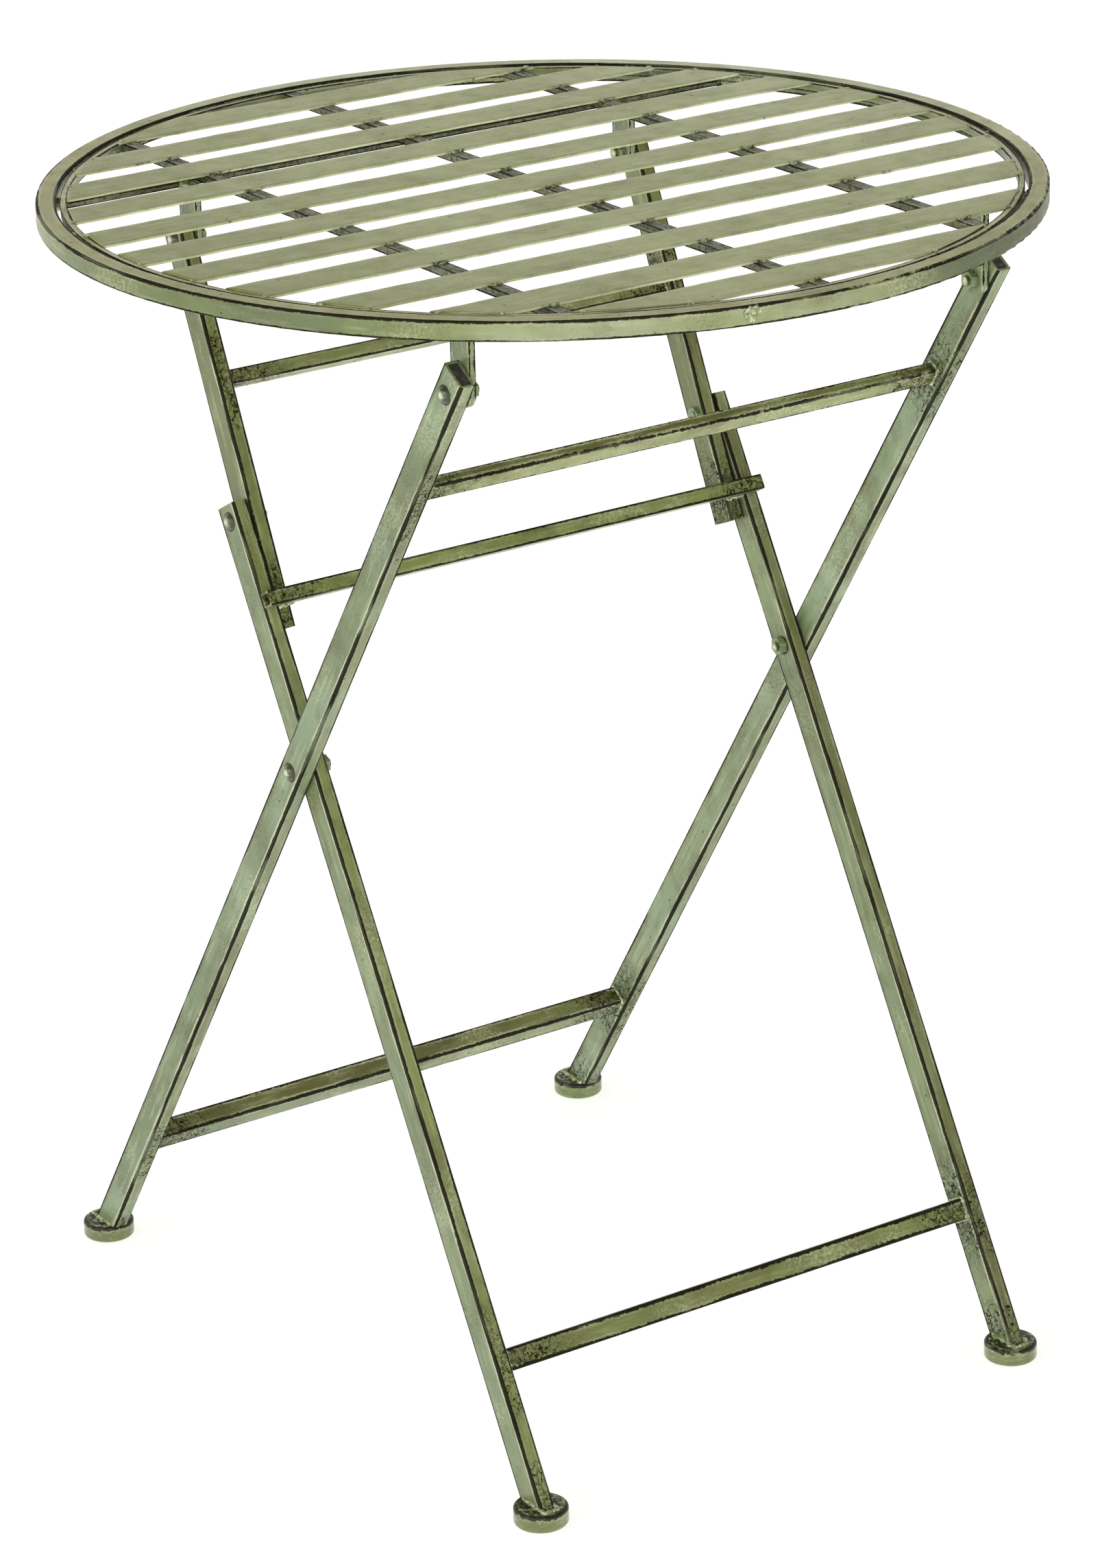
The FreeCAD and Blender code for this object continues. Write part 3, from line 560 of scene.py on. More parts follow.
def rail_paint(node, lean, halves, top_lighting_tone, front_lighting_tone, **amounts):
    """Paint for a rail between two legs or links, smudged at its welded ends."""
    paint = Paint(f"{node}_paint", **PAINT)
    spot = level_spot(paint, middle(node), lean, *halves)
    from_middle = paint.calc("ABSOLUTE", paint.split(spot.local)[0])
    smudges_and_shade = smudge_at(paint, spot, from_middle, [half_size(node).x], RAIL_SMUDGE, 0.85)
    return wear(paint, spot, top_lighting_tone, front_lighting_tone, OLIVE, smudges_and_shade=smudges_and_shade, grime=0.6, **amounts)


def bracket_paint(node):
    paint = Paint(f"{node}_paint", **PAINT)
    spot = bracket_spot(paint, node)
    return wear(paint, spot, BLUE_SAGE, SAGE, SAGE, line=0.9, jag=0.6, grime=0.5)


# Sides of the hoop by the way they face, where it gets painted highlights and painted shade, each with the cosines
# where it starts and where it is full
HOOP_LIGHT = (math.radians(252), 0.87, 0.95)
HOOP_SHADE = (math.radians(325), 0.6, 0.95)
HOOP_FAR_HIGHLIGHT = (math.radians(45), 0.1, 0.8)
HOOP_LEFT_SHADE = (math.radians(192), 0.8, 0.97)


def toward(paint, local, direction, low, high):
    """A mask of the side of a ring that faces a direction, from the cosine low to the cosine high."""
    x, y, _ = paint.split(local)
    along = paint.calc("MULTIPLY_ADD", x, math.cos(direction), paint.times(y, math.sin(direction)))
    return paint.ease(paint.calc("DIVIDE", along, paint.radius(x, y)), low, high)


def hoop_paint():
    """Paint for the hoop, with painted highlights on its near and far sides and painted shade to the left and
    right.
    """
    paint = Paint("hoop_paint", **PAINT)
    half = HOOP_SIDE / 2
    spot = round_spot(paint, HOOP_MIDDLE, half, HOOP_TOP - half, half, HOOP_CORNER)
    light, shade, far_highlight, left = [
        toward(paint, spot.local, *side) for side in (HOOP_LIGHT, HOOP_SHADE, HOOP_FAR_HIGHLIGHT, HOOP_LEFT_SHADE)
    ]
    outside = paint.calc("SUBTRACT", 1.0, spot.face)
    # Painted highlights: pale outside where it faces the light, and on top on the far side
    scratches_and_highlights = paint.most(paint.times(light, outside, 0.38), paint.times(far_highlight, spot.face))
    # Painted shade: dark outside to the right and, fainter, to the left
    smudges_and_shade = paint.times(paint.most(shade, paint.times(left, 0.35)), outside, 0.52)
    return wear(
        paint, spot, HOOP_TONE, HOOP_SIDE_TONE, OLIVE, line=0.8, jag=0.3, grime=0.4, stain=0.5, lit=0.6,
        smudges_and_shade=smudges_and_shade, scratches_and_highlights=scratches_and_highlights
    )


def ring_paint():
    paint = Paint("ring_paint", **PAINT)
    ring_middle = RING_OUTSIDE - RING_WIDTH / 2
    half_height = half_size("slat_ring").z
    spot = round_spot(paint, ring_middle, RING_WIDTH / 2, middle("slat_ring").z, half_height, 0.0)
    return wear(paint, spot, SLAT_OLIVE, UNDER_GREEN, SLAT_GREEN, jag=0.3)


# How far the wax on a slat stays off its corners, in millimetres
SLAT_WAX_DROP = 0.55


def slat_paint():
    """Paint for the slats: thin wax lines, smudges over the cross bars and painted highlights on the front edges.
    """
    paint = Paint("slat_paint", **PAINT)
    spot = flat_bars_spot(paint, SLATS, 1, -SLAT_WAX_DROP)
    x = paint.split(spot.local)[0]
    near_bars = [paint.ease(paint.away(x, middle(bar).x / MM), 9.0, 4.0) for bar in CROSS_BARS]
    crossing = paint.times(
        paint.most(*near_bars),
        paint.ease(spot.edge, 2.2, 0.4),
        paint.ease(paint.noise(spot.local, 0.35, 3.0, 0.7), 0.44, 0.58),
    )
    # Painted highlight: the faces that turn to the front are pale
    facing = paint.split(paint.add("TexCoord").outputs["Normal"])[1]
    front_highlight = paint.ease(facing, -0.35, -0.75)
    tone = paint.mix(paint.ease(x, -90.0, -240.0), SLAT_GREEN, SLAT_OLIVE)
    tone = paint.mix(paint.times(paint.ease(x, 90.0, 250.0), 0.3), tone, PALE)
    return wear(
        paint, spot, tone, tone, SLAT_OLIVE, line=0.12, jag=0.3, rub=0.3, grime=0.35, stain=0.45,
        lit=0.4, smudges_and_shade=crossing, scratches_and_highlights=front_highlight
    )


def bar_paint(name, nodes, across):
    """Paint for the flat bars under the slats: dark green with painted shade, black along both edges."""
    paint = Paint(name, **PAINT)
    spot = flat_bars_spot(paint, nodes, across)
    # Dark smudges that paint the shade under the slats
    smudge = paint.times(paint.ease(paint.noise(spot.local, 0.3, 4.0, 0.7), 0.46, 0.6), 0.6)
    return wear(
        paint, spot, UNDER_GREEN, UNDER_SIDE, DARK_OLIVE, line=0.9, jag=0.4, rub=0.25, grime=0.9,
        lit=0.5, smudges_and_shade=smudge
    )


def foot_paint(name, node):
    """Glossy paint for a pair of feet: dark at the upper rim, painted shade and dark reflections round the leg,
    and scratches and painted glints between.
    """
    paint = Paint(name, metallic=0.15, coat=0.7)
    centre, half = middle(node), half_size(node)
    local = paint.local((0, centre.y, centre.z))
    x, y, z = paint.split(local)
    across = paint.calc("SUBTRACT", paint.calc("ABSOLUTE", x), abs(centre.x) / MM)
    reach = paint.radius(across, y)
    edge, face = corner_distance(paint, z, half.z / MM, reach, half.x / MM, FOOT_CORNER)
    spot = Spot(local, edge, paint.scaled(local, FOOT_STREAKS), face)
    ragged = paint.ease(paint.noise(local, 0.3, 3.0, 0.7), 0.4, 0.5)
    # Painted shade and dark reflections on the top round the leg
    dark_reflection_round_leg = paint.times(paint.ease(reach, 17.5, 12.0), ragged, face)
    # Pale specks on the top: scratches and painted glints
    glints_and_scratches = paint.times(face, paint.ease(paint.noise(local, 0.25, 2.0, shift=50.0), 0.53, 0.58))
    return wear(
        paint, spot, OLIVE, FOOT_SIDE, DARK_OLIVE, line=1.5, jag=0.9, rub=0.4, grime=0.7, smudges_and_shade=dark_reflection_round_leg,
        scratches_and_highlights=paint.times(glints_and_scratches, 0.9)
    )


def bolt_paint(node):
    """Paint on a pair of bolts: painted shade at the rim of the heads and painted highlights at their crowns."""
    paint = Paint(f"{node}_paint", metallic=0.3, coat=1.0)
    centre = middle(node)
    local = paint.local((0, centre.y, centre.z))
    _, y, z = paint.split(local)
    lumps = paint.noise(local, 0.45, 4.0, 0.7)
    reach = paint.calc("MULTIPLY_ADD", paint.calc("SUBTRACT", lumps, 0.5), 6.0, paint.radius(y, z))
    # Painted shade at the rim of each head
    rim_shade = paint.ease(reach, *BOLT_RIM)
    colour = paint.mix(paint.ease(lumps, 0.4, 0.62), OLIVE, SAGE)
    # Painted highlight on the crown of each head
    colour = paint.mix(paint.times(paint.ease(reach, 2.0, 1.0), 0.85), colour, PALE)
    colour = paint.mix(paint.times(rim_shade, 0.92), colour, WAX)
    return paint.finish(colour, paint.calc("MULTIPLY_ADD", rim_shade, 0.2, 0.2), lumps, 0.5)


def lump_paint(name, base, highlight_tone, dark_share):
    """Paint for welds, tacks, nuts and washers: small lumps without edges of their own."""
    paint = Paint(name, metallic=0.3, coat=0.5)
    local = paint.local((0, 0, 0))
    lumps = paint.noise(local, 0.35, 4.0, 0.7)
    grain = paint.noise(local, 1.4, 3.0, 0.7)
    # The raised lumps take the high tone: a painted highlight
    colour = paint.mix(paint.ease(lumps, 0.45, 0.6), base, highlight_tone)
    hollow = paint.calc("ADD", lumps, paint.times(grain, 0.35))
    inked = paint.ease(hollow, 0.52 + dark_share, 0.44 + dark_share)
    colour = paint.mix(paint.times(inked, 0.92), colour, WAX)
    # Pale grain specks: painted glints
    colour = paint.mix(paint.times(paint.ease(grain, 0.6, 0.7), 0.6), colour, PALE)
    roughness = paint.calc("MULTIPLY_ADD", inked, 0.3, paint.times(grain, 0.5))
    return paint.finish(colour, roughness, paint.calc("ADD", lumps, paint.times(grain, 0.4)), 0.6)


def plug_plastic():
    paint = Paint("plug_plastic")
    local = paint.local((0, 0, 0))
    dust = paint.noise(local, 0.25, 4.0, 0.7)
    colour = paint.mix(paint.times(paint.ease(dust, 0.5, 0.75), 0.35), CHARCOAL, GREY_RUB)
    roughness = paint.calc("MULTIPLY_ADD", dust, 0.3, 0.4)
    return paint.finish(colour, roughness, paint.noise(local, 2.0, 2.0), 0.25, BUMP_DEPTH / 2)


# Paint on the CAD nodes that keep their shape

def dress(material, *nodes):
    """Gives CAD nodes a material in place of the one they were packed with."""
    for node in nodes:
        slots = NODES[node].data.materials
        slots.clear()
        slots.append(material)


def dress_legs():
    outer_welds = ("outer_upper_rail", "outer_lower_rail", "outer_foot_left")
    inner_welds = ("inner_lower_rail", "inner_foot_left")
    outer = leg_paint(
        "outer_leg_paint", CROSSING, OUTER_LEAN, OUTER_X, [0.0, (FRONT - CROSSING).length],
        [height_along(CROSSING, OUTER_LEAN, node) for node in outer_welds],
        OUTER_SIDE, OUTER_FRONT, BLUE_LIGHT, 0.5, 0.0, line=1.05, jag=0.22, rub=0.4, grime=0.85
    )
    inner = leg_paint(
        "inner_leg_paint", CROSSING, INNER_LEAN, INNER_X, [0.0, (KNEE - CROSSING).length],
        [height_along(CROSSING, INNER_LEAN, node) for node in inner_welds],
        BLUE_SAGE, OLIVE, SAGE, 0.1, 0.6, line=1.1, jag=0.24, rub=0.4, grime=0.85
    )
    link = leg_paint(
        "link_paint", KNEE, LINK_LEAN, LINK_X, [(REAR - KNEE).length],
        [height_along(KNEE, LINK_LEAN, "link_upper_rail"), LINK_HEEL],
        LINK_TONE, OLIVE, DARK_OLIVE, 0.35, 0.2, line=1.0, jag=0.28, grime=0.9
    )
    for start, material in (("outer_leg", outer), ("inner_leg", inner), ("link", link)):
        dress(material, f"{start}_left", f"{start}_right")


def dress_rails():
    # Each rail's top and front tones paint the light and shade on those faces
    rails = (
        ("outer_upper_rail", OUTER_LEAN, UPPER_RAIL_HALVES, RAIL_TOP, RAIL_LIGHT, 0.8, 0.7),
        ("outer_lower_rail", OUTER_LEAN, RAIL_HALVES, RAIL_TOP, BLUE_SAGE, 1.1, 0.6),
        ("inner_lower_rail", INNER_LEAN, RAIL_HALVES, SAGE, INNER_RAIL_TONE, 1.5, 0.8),
        ("link_upper_rail", LINK_LEAN - LINK_RAIL_TURN, BAR_HALVES, RAIL_LIGHT, LINK_RAIL_TONE, 0.6, 0.3),
        ("stop_bar", INNER_LEAN, BAR_HALVES, OLIVE, OLIVE, 0.6, 0.4),
    )
    for node, lean, halves, top_lighting_tone, front_lighting_tone, line, jag in rails:
        dress(rail_paint(node, lean, halves, top_lighting_tone, front_lighting_tone, line=line, jag=jag), node)


def dress_cad():
    dress_legs()
    dress_rails()
    for node in BRACKETS:
        dress(bracket_paint(node), node)
    dress(hoop_paint(), "rim_hoop")
    dress(ring_paint(), "slat_ring")
    dress(bar_paint("cross_bar_paint", CROSS_BARS, 0), *CROSS_BARS)
    dress(bar_paint("under_bar_paint", UNDER_BARS, 1), *UNDER_BARS)
    for pair in ("outer_foot", "inner_foot"):
        dress(foot_paint(f"{pair}_paint", f"{pair}_right"), f"{pair}_left", f"{pair}_right")
    for node in named(ends="bolts"):
        dress(bolt_paint(node), node)
    dress(lump_paint("nut_paint", BLUE_SAGE, SAGE, 0.06), *named(ends=("nuts", "washers")))
    dress(lump_paint("tack_paint", UNDER_GREEN, PALE, 0.04), "ring_tacks", "stop_blocks")
    dress(plug_plastic(), "outer_leg_plugs", "inner_leg_plugs")


# Pieces of this script's own

def new_piece(name, mesh, material, body):
    """A mesh as a piece that rides on a body, with its own material."""
    piece = bpy.data.objects.new(name, mesh)
    bpy.context.scene.collection.objects.link(piece)
    mesh.materials.append(material)
    mesh.polygons.foreach_set("use_smooth", [True] * len(mesh.polygons))
    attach(piece, body)
    return piece


SLAT_COLUMNS = 150
SLAT_SPANS = 7
SLAT_ROUNDING = 0.4 * MM
SLAT_WAVE = 0.75 * MM
SLAT_DENT = 0.2 * MM
# Waves to the metre: of a whole slat, of its cut edges, of the nicks in them, and of its dents
SWAY_WAVES = 9
CUT_WAVES = 38
NICK_WAVES = 150
DENT_WAVES = (24, 40)


def slat_section():
    """A slat's section as points (across, up) about its middle, its corners rounded."""
    half_width, half_thick = SLAT_WIDTH / 2, half_size(SLATS[0]).z
    points = []
    for across, up, start in ((1, -1, 270), (1, 1, 0), (-1, 1, 90), (-1, -1, 180)):
        centre_across = across * (half_width - SLAT_ROUNDING)
        centre_up = up * (half_thick - SLAT_ROUNDING)
        for turn in [math.radians(start + 30 * step) for step in range(4)]:
            points.append((
                centre_across + SLAT_ROUNDING * math.cos(turn), centre_up + SLAT_ROUNDING * math.sin(turn)
            ))
        if across == up:
            spans = [-across * half_width * (2 * k / SLAT_SPANS - 1) for k in range(1, SLAT_SPANS)]
            points.extend((span, up * half_thick) for span in spans)
    return points


def slat_unevenness(number, x, across):
    """How far a slat's cut edge and its face are off at a place; the number makes each slat its own."""
    side = 1 if across > 0 else -1
    near_edge = (abs(across) / (SLAT_WIDTH / 2)) ** 6
    sway = noise.noise((x * SWAY_WAVES, number * 3.7, 1.0))
    cut = noise.noise((x * CUT_WAVES, number * 7.3, side * 5.1))
    nick = noise.noise((x * NICK_WAVES, number, side))
    dent = noise.noise((x * DENT_WAVES[0], across * DENT_WAVES[1], number * 2.9))
    return SLAT_WAVE * (0.9 * sway + side * (cut + 0.45 * nick) * near_edge), SLAT_DENT * (dent - 0.4)


def make_slat(node, number, material):
    """A slat with hand-cut edges and shallow dents, trimmed to the ring's inside."""
    centre = middle(node)
    section = slat_section()
    verts = []
    for column in range(SLAT_COLUMNS + 1):
        share = 2 * column / SLAT_COLUMNS - 1
        for across, up in section:
            x = share * math.sqrt(RING_INSIDE ** 2 - (centre.y + across) ** 2)
            wave, dent = slat_unevenness(number, x, across)
            verts.append((x, centre.y + across + wave, centre.z + up + dent))
    ring = len(section)
    faces = []
    for column in range(SLAT_COLUMNS):
        for k in range(ring):
            a, b = column * ring + k, column * ring + (k + 1) % ring
            faces.append((a, b, b + ring, a + ring))
    faces.append(tuple(reversed(range(ring))))
    faces.append(tuple(range(SLAT_COLUMNS * ring, (SLAT_COLUMNS + 1) * ring)))
    mesh = bpy.data.meshes.new(node)
    mesh.from_pydata(verts, [], faces)
    mesh.validate()
    slat = new_piece(f"{node}_worn", mesh, material, BODY_OF[node])
    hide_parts(node)


BEAD_SIDES = 8
# A bead's step as a share of its radius, its ripples by the step, and how rough it is
BEAD_STEP = 0.55
BEAD_RIPPLE = 0.75
BEAD_ROUGHNESS = 0.3
BEAD_ROUGH_WAVES = 600
BLOB_ROUGHNESS = 0.4
BLOB_ROUGH_WAVES = 1.6


class Lumps:
    """Gathers weld beads and blobs that become one piece."""

    def __init__(self, name, seed):
        self.name = name
        self.random = random.Random(seed)
        self.mesh = bmesh.new()

    def bead(self, points, radius, closed=False):
        """A rippled bead along a line of points."""
        path = even_path(points, radius * BEAD_STEP, closed)
        count = len(path)
        phase = self.random.uniform(0, 6)
        rings = []
        for index, point in enumerate(path):
            before = path[(index - 1) % count] if closed or index else point
            after = path[(index + 1) % count] if closed or index < count - 1 else point
            end = 1.0 if closed else min(1.0, 0.45 + 0.3 * min(index, count - 1 - index))
            ripple = 0.86 + 0.2 * abs(math.sin(index * BEAD_RIPPLE + phase))
            rings.append(self.bead_ring(point, (after - before).normalized(), radius, ripple * end))
        for index in range(count if closed else count - 1):
            self.join_rings(rings[index], rings[(index + 1) % count])
        if not closed:
            self.mesh.faces.new(tuple(reversed(rings[0])))
            self.mesh.faces.new(rings[-1])

    def bead_ring(self, point, forward, radius, swell):
        aside = forward.orthogonal().normalized()
        other = forward.cross(aside)
        ring = []
        for step in range(BEAD_SIDES):
            turn = 2 * math.pi * step / BEAD_SIDES
            out = (aside * math.cos(turn) + other * math.sin(turn)) * radius
            rough = 1 + BEAD_ROUGHNESS * noise.noise((point + out) * BEAD_ROUGH_WAVES)
            ring.append(self.mesh.verts.new(point + out * swell * rough))
        return ring

    def join_rings(self, here, there):
        shift = nearest_shift(here, there)
        for step in range(BEAD_SIDES):
            following = (step + 1) % BEAD_SIDES
            self.mesh.faces.new((
                here[step], here[following],
                there[(following + shift) % BEAD_SIDES], there[(step + shift) % BEAD_SIDES],
            ))

    def blob(self, centre, radius, flat):
        """An uneven lump, flattened by a factor along each axis."""
        made = bmesh.ops.create_icosphere(self.mesh, subdivisions=3, radius=1.0)
        offset = Vector([self.random.uniform(-9, 9) for _ in range(3)])
        for vertex in made["verts"]:
            rough = 1 + BLOB_ROUGHNESS * noise.noise(vertex.co * BLOB_ROUGH_WAVES + offset)
            scaled = Vector(a * b for a, b in zip(vertex.co * rough * radius, flat))
            vertex.co = centre + scaled

    def drop(self, centre, low, high, flat):
        """A blob of a random radius between two, in millimetres."""
        self.blob(centre, self.random.uniform(low, high) * MM, flat)

    def finish(self, material, body, slot="frame_paint"):
        bmesh.ops.recalc_face_normals(self.mesh, faces=self.mesh.faces)
        mesh = bpy.data.meshes.new(self.name)
        self.mesh.to_mesh(mesh)
        self.mesh.free()
        new_piece(self.name, mesh, material, body)


def nearest_shift(here, there):
    """How far to turn the next ring of a bead so that its points line up."""
    return min(range(BEAD_SIDES), key=lambda k: (there[k].co - here[0].co).length)


def even_path(points, step, closed):
    """Points at an even step along a line of points."""
    ends = list(points) + ([points[0]] if closed else [])
    path = []
    for start, end in zip(ends, ends[1:]):
        pieces = max(1, round((end - start).length / step))
        path.extend(start.lerp(end, k / pieces) for k in range(pieces))
    if not closed:
        path.append(ends[-1])
    return path


def loop_round(centre, first, second, half_first, half_second, corner=0.8 * MM):
    """A closed rectangular line with cut corners about a centre, on two directions."""
    outline = []
    for a, b in ((1, 1), (-1, 1), (-1, -1), (1, -1)):
        long_first = first * a * half_first + second * b * (half_second - corner)
        long_second = first * a * (half_first - corner) + second * b * half_second
        pair = [long_first, long_second] if a * b > 0 else [long_second, long_first]
        outline.extend(centre + corner_point for corner_point in pair)
    return outline


# Radii of the weld beads
RAIL_BEAD = 1.0 * MM
FOOT_BEAD = 1.3 * MM
STOP_BEAD = 1.1 * MM
BRACKET_BEAD = 1.2 * MM
SEAM_BEAD = 0.75 * MM
UNDER_BAR_LUMP = 2.0 * MM
# How far they stand off the pieces that they join
RAIL_BEAD_OFF = 0.2 * MM
RAIL_BEAD_IN = 0.4 * MM
FOOT_BEAD_UP = 0.3 * MM
FOOT_DROPS_OUT = 0.8 * MM
TACK_DROP = 0.3 * MM
END_TACK_RISE = 0.9 * MM
UNDER_BAR_LUMP_IN = 0.5 * MM
BRACKET_BEAD_OFF = 0.3 * MM
BRACKET_BEAD_HALF = 6 * MM
# How near its end a slat needs no tack, how far in from its corners the ring's tacks are, and their share
END_CLEARANCE = 5 * MM
END_TACK_IN = 3 * MM
END_TACK_SHARE = 0.75
ASIDE = Vector((1, 0, 0))
BACK = Vector((0, 1, 0))
UP = Vector((0, 0, 1))


def weld_rail(lumps, node, face_x, lean, halves):
    """A bead round a rail's ends at the inner faces of the legs or links, with a few drops of spatter."""
    centre = middle(node)
    depth, height = halves
    along = up_along(Vector(), lean, 1)
    forward = Vector((0, -math.cos(lean), -math.sin(lean)))
    for side in SIDES:
        place = Vector((side * (face_x - RAIL_BEAD_IN), centre.y, centre.z))
        outline = loop_round(place, forward, along, depth + RAIL_BEAD_OFF, height + RAIL_BEAD_OFF)
        lumps.bead(outline, RAIL_BEAD, closed=True)
        for _ in range(3):
            drift = lumps.random.uniform(-1, 1)
            lumps.drop(place + along * drift * height + forward * depth, 0.9, 1.6, (1.3, 0.8, 1.0))


def weld_feet(lumps, foot, leg_x, lean):
    """A bead round each leg where it stands on its foot."""
    centre = middle(f"{foot}_right")
    half_long = TUBE_DEPTH_HALF / math.cos(lean)
    for side in SIDES:
        place = Vector((side * leg_x, centre.y, FOOT_TOP + FOOT_BEAD_UP))
        lumps.bead(loop_round(place, ASIDE, BACK, TUBE_HALF, half_long), FOOT_BEAD, closed=True)
        for _ in range(6):
            flank, end = lumps.random.choice(SIDES), lumps.random.uniform(-1, 1)
            spot = place + Vector((flank * (TUBE_HALF + FOOT_DROPS_OUT), end * half_long, 0))
            lumps.drop(spot, 1.1, 2.2, (1.0, 1.2, 0.7))


def weld_stop_bar(lumps):
    """Beads and drops where the stop bar's blocks meet the bar and the links."""
    bar = middle("stop_bar")
    along = up_along(Vector(), INNER_LEAN, 1)
    back = Vector((0, math.cos(INNER_LEAN), math.sin(INNER_LEAN)))
    for side in SIDES:
        face = Vector((side * LINK_X, bar.y, bar.z)) + back * BAR_HALF
        for edge in SIDES:
            seam = face + along * edge * BAR_HALF
            lumps.bead([seam - ASIDE * TUBE_HALF, seam + ASIDE * TUBE_HALF], STOP_BEAD)
        for _ in range(5):
            drift = ASIDE * lumps.random.uniform(-1, 1) * TUBE_HALF
            spot = face + drift - along * BAR_HALF + back * lumps.random.uniform(0, 4) * MM
            lumps.drop(spot, 1.0, 1.9, (1.2, 1.0, 0.9))


def tack_slat(lumps, node):
    """Tacks under a slat's edges at the cross bars, and most of its corners tacked to the ring."""
    y, slat_floor = middle(node).y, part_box(node)[0].z
    reach = math.sqrt(RING_INSIDE ** 2 - y ** 2)
    for x in [middle(bar).x for bar in CROSS_BARS]:
        if abs(x) > reach - END_CLEARANCE:
            continue
        for edge in SIDES:
            jitter = lumps.random.uniform(-2, 2) * MM
            spot = Vector((x + jitter, y + edge * SLAT_WIDTH / 2, slat_floor - TACK_DROP))
            lumps.drop(spot, 0.9, 1.6, (1.5, 0.8, 0.8))
    for side in SIDES:
        for edge in SIDES:
            corner_y = y + edge * (SLAT_WIDTH / 2 - END_TACK_IN)
            corner_x = side * math.sqrt(RING_INSIDE ** 2 - corner_y ** 2)
            if lumps.random.random() < END_TACK_SHARE:
                spot = Vector((corner_x, corner_y, slat_floor + END_TACK_RISE))
                lumps.drop(spot, 1.0, 1.9, (1.1, 1.3, 0.7))


def weld_top(lumps):
    """Tacks at the slats, lumps where the under bars meet the hoop, and beads over the brackets."""
    for node in SLATS:
        tack_slat(lumps, node)
    for bar in UNDER_BARS:
        low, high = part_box(bar)
        for side in SIDES:
            for y in (low.y, high.y):
                x = side * (math.sqrt(HOOP_INSIDE ** 2 - y ** 2) - UNDER_BAR_LUMP_IN)
                lumps.blob(Vector((x, y, (low.z + high.z) / 2)), UNDER_BAR_LUMP, (1.0, 0.9, 1.2))
    for bracket in BRACKETS:
        centre, half = middle(bracket), half_size(bracket)
        top = centre + UP * half.z
        outline = loop_round(top, ASIDE, BACK, half.x + BRACKET_BEAD_OFF, BRACKET_BEAD_HALF)
        lumps.bead(outline, BRACKET_BEAD, closed=True)


def make_welds(material):
    outer = Lumps("outer_frame_welds", 11)
    weld_rail(outer, "outer_upper_rail", OUTER_X - TUBE_HALF, OUTER_LEAN, UPPER_RAIL_HALVES)
    weld_rail(outer, "outer_lower_rail", OUTER_X - TUBE_HALF, OUTER_LEAN, RAIL_HALVES)
    weld_feet(outer, "outer_foot", OUTER_X, OUTER_LEAN)
    outer.finish(material, "outer_frame")

    inner = Lumps("inner_frame_welds", 12)
    weld_rail(inner, "inner_lower_rail", INNER_X - TUBE_HALF, INNER_LEAN, RAIL_HALVES)
    weld_feet(inner, "inner_foot", INNER_X, INNER_LEAN)
    inner.finish(material, "inner_frame")

    link = Lumps("link_frame_welds", 13)
    weld_rail(link, "link_upper_rail", LINK_X - TUBE_HALF, LINK_LEAN - LINK_RAIL_TURN, BAR_HALVES)
    weld_stop_bar(link)
    link.finish(material, "link_frame")

    top = Lumps("table_top_welds", 14)
    weld_top(top)
    top.finish(material, "table_top", "top_paint")


HOOP_SEAM = math.radians(258.6)
SEAM_ASKEW = 0.28


def make_hoop_seam(material):
    """The butt weld that closes the hoop: a ground bead round the bar, slightly askew."""
    lumps = Lumps("hoop_seam_weld", 15)
    half = HOOP_SIDE / 2
    outward = Vector((math.cos(HOOP_SEAM), math.sin(HOOP_SEAM), 0))
    around = Vector((-outward.y, outward.x, 0))
    centre = outward * HOOP_MIDDLE + UP * (HOOP_TOP - half)
    askew = (UP + around * SEAM_ASKEW).normalized()
    outline = loop_round(centre, outward, askew, half - 0.35 * MM, half - 0.25 * MM, 1.2 * MM)
    lumps.bead(outline, SEAM_BEAD, closed=True)
    for _ in range(5):
        spot = centre + outward * half + around * lumps.random.uniform(-5, 3) * MM
        spot += UP * lumps.random.uniform(-4, 4) * MM
        lumps.drop(spot, 1.6, 2.8, (1.2, 0.3, 1.0))
    lumps.finish(material, "table_top", "top_paint")


# The studio

FLOOR_SIDE = 60.0
FLOOR_DROP = 0.5 * MM
FLOOR_GREY = (0.55, 0.55, 0.55, 1.0)
FLOOR_ROUGHNESS = 0.9
WHITE = (1.0, 1.0, 1.0, 1.0)
FLOOR_GLOW = 0.74
SKY_HORIZON = (0.93, 0.93, 0.87, 1.0)
SKY_TOP = (0.44, 0.42, 0.36, 1.0)
# How much stronger the sky is to the right and to the back
SKY_TO_RIGHT = -0.22
SKY_TO_BACK = 0.12
# How high up the sky starts to turn to its top colour, and where it has
SKY_RISE = (0.05, 0.8)
LIGHT_TARGET = (0, 0, 0.4)


def make_floor():
    """A wide matt floor that glows, so that it looks as white as what is behind it."""
    half = FLOOR_SIDE / 2
    corners = [(-half, -half, 0), (half, -half, 0), (half, half, 0), (-half, half, 0)]
    mesh = bpy.data.meshes.new("floor")
    mesh.from_pydata(corners, [], [(0, 1, 2, 3)])
    floor = bpy.data.objects.new("floor", mesh)
    bpy.context.scene.collection.objects.link(floor)
    material = bpy.data.materials.new("floor_white")
    material.use_nodes = True
    shader = material.node_tree.nodes["Principled BSDF"]
    shader.inputs["Base Color"].default_value = FLOOR_GREY
    shader.inputs["Roughness"].default_value = FLOOR_ROUGHNESS
    shader.inputs["Emission Color"].default_value = WHITE
    shader.inputs["Emission Strength"].default_value = FLOOR_GLOW
    mesh.materials.append(material)
    floor.location.z = -FLOOR_DROP


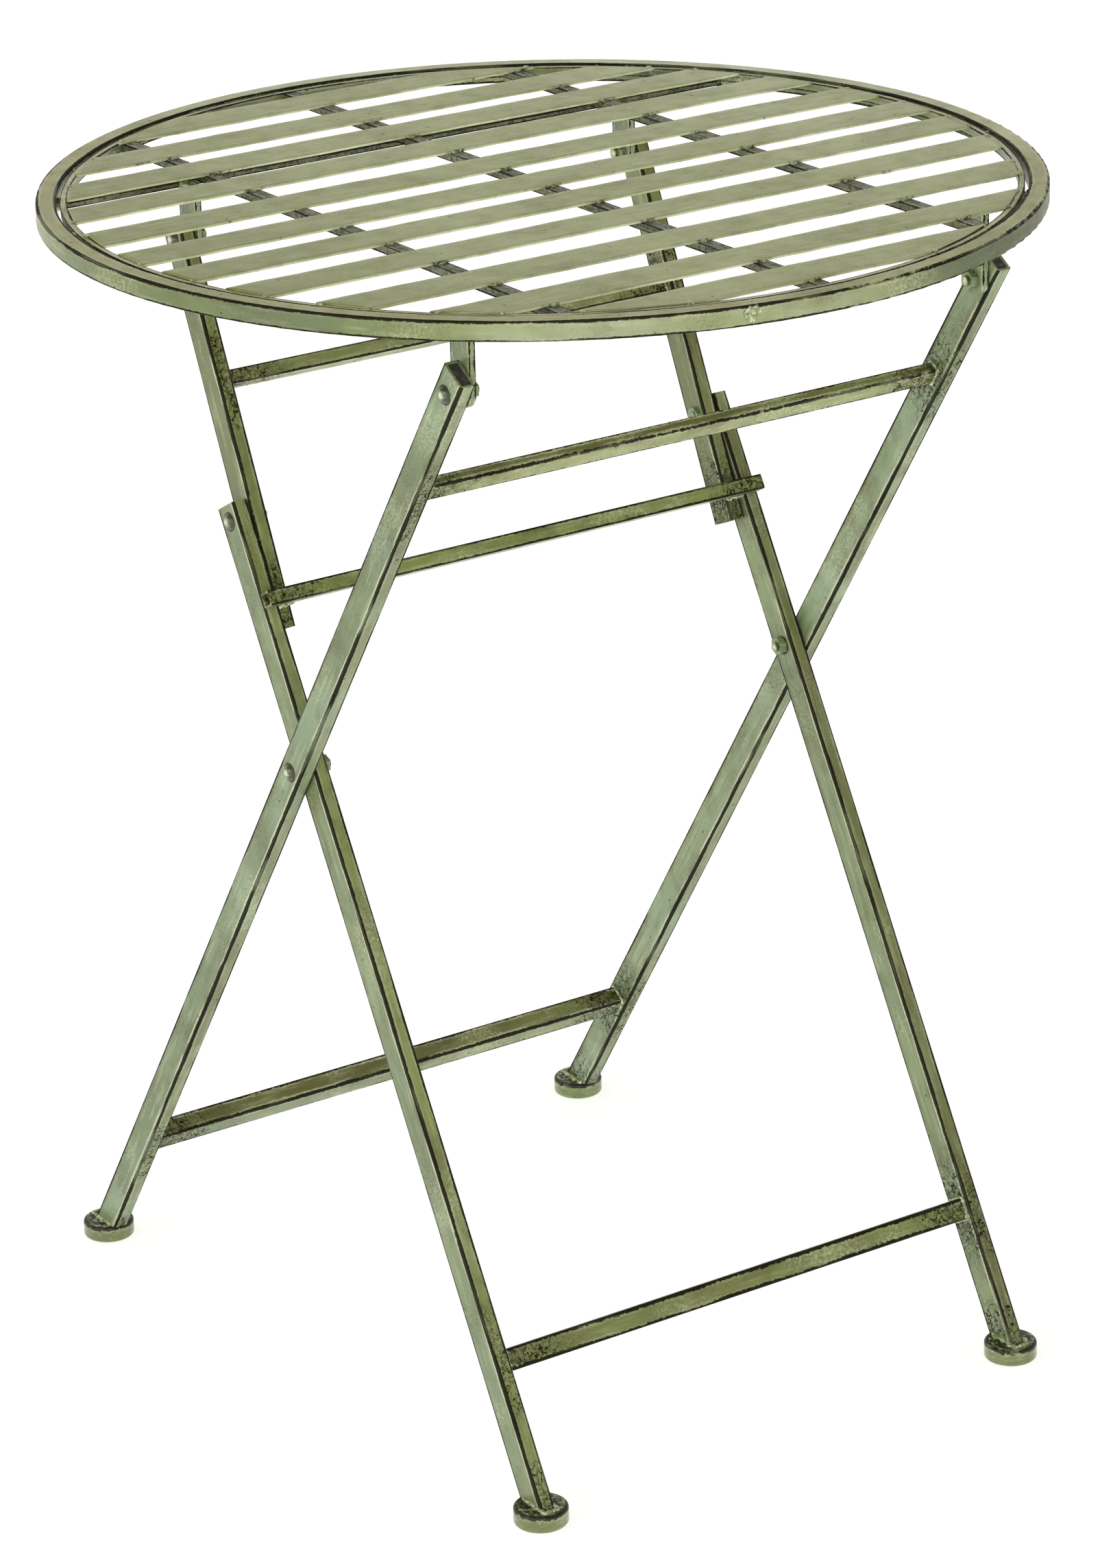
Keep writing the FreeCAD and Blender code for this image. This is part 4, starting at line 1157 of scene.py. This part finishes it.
def make_light(name, place, size, power, colour):
    """A light box that faces the middle of the table."""
    data = bpy.data.lights.new(name, "AREA")
    data.shape = "RECTANGLE"
    data.size, data.size_y = size
    data.energy = power
    data.color = colour
    light = bpy.data.objects.new(name, data)
    light.location = place
    light.rotation_mode = "QUATERNION"
    light.rotation_quaternion = (Vector(LIGHT_TARGET) - Vector(place)).to_track_quat("-Z", "Y")
    bpy.context.scene.collection.objects.link(light)


def make_studio():
    """A soft grey room, brighter low down and to the left, with two dim light boxes."""
    world = bpy.data.worlds.new("studio")
    world.use_nodes = True
    bpy.context.scene.world = world
    sky = Nodes(world.node_tree)
    x, y, z = sky.split(sky.add("TexCoord").outputs["Generated"])
    strength = sky.calc("MULTIPLY_ADD", y, SKY_TO_BACK, sky.calc("MULTIPLY_ADD", x, SKY_TO_RIGHT, 1.0))
    background = sky.tree.nodes["Background"]
    sky.put(background.inputs["Color"], sky.mix(sky.ease(z, *SKY_RISE), SKY_HORIZON, SKY_TOP))
    sky.put(background.inputs["Strength"], strength)
    make_light("left_box", (-3.2, -0.6, 1.2), (2.4, 2.4), 18, (0.97, 1.0, 0.97))
    make_light("front_box", (-1.8, -3.4, 1.4), (1.6, 2.4), 20, (1.0, 0.99, 0.92))


CAMERA_PLACE = Vector((-1.733, -2.584, 1.562))
CAMERA_AZIMUTH = math.radians(-33.87)
CAMERA_ELEVATION = math.radians(20.39)
CAMERA_ROLL = math.radians(-1.33)
CAMERA_SENSOR = 36.0
CAMERA_LENS = 124.0
CAMERA_RISE = -0.05


def make_camera():
    data = bpy.data.cameras.new("camera")
    data.sensor_width = CAMERA_SENSOR
    data.lens = CAMERA_LENS
    data.shift_y = CAMERA_RISE
    camera = bpy.data.objects.new("camera", data)
    level = math.cos(CAMERA_ELEVATION)
    back = Vector((
        math.sin(CAMERA_AZIMUTH) * level, -math.cos(CAMERA_AZIMUTH) * level, math.sin(CAMERA_ELEVATION)
    ))
    right = Vector((math.cos(CAMERA_AZIMUTH), math.sin(CAMERA_AZIMUTH), 0))
    up = back.cross(right)
    right = right * math.cos(CAMERA_ROLL) + up * math.sin(CAMERA_ROLL)
    up = back.cross(right)
    turn = Matrix((right, up, back)).transposed()
    camera.matrix_world = Matrix.Translation(CAMERA_PLACE) @ turn.to_4x4()
    bpy.context.scene.collection.objects.link(camera)
    bpy.context.scene.camera = camera


def main():
    bpy.context.scene.view_settings.view_transform = "Standard"
    dress_cad()
    slats = slat_paint()
    for number, node in enumerate(SLATS, 1):
        make_slat(node, number, slats)
    welds = lump_paint("weld_paint", SAGE, PALE, 0.02)
    make_welds(welds)
    make_hoop_seam(welds)
    make_floor()
    make_studio()
    make_camera()


main()
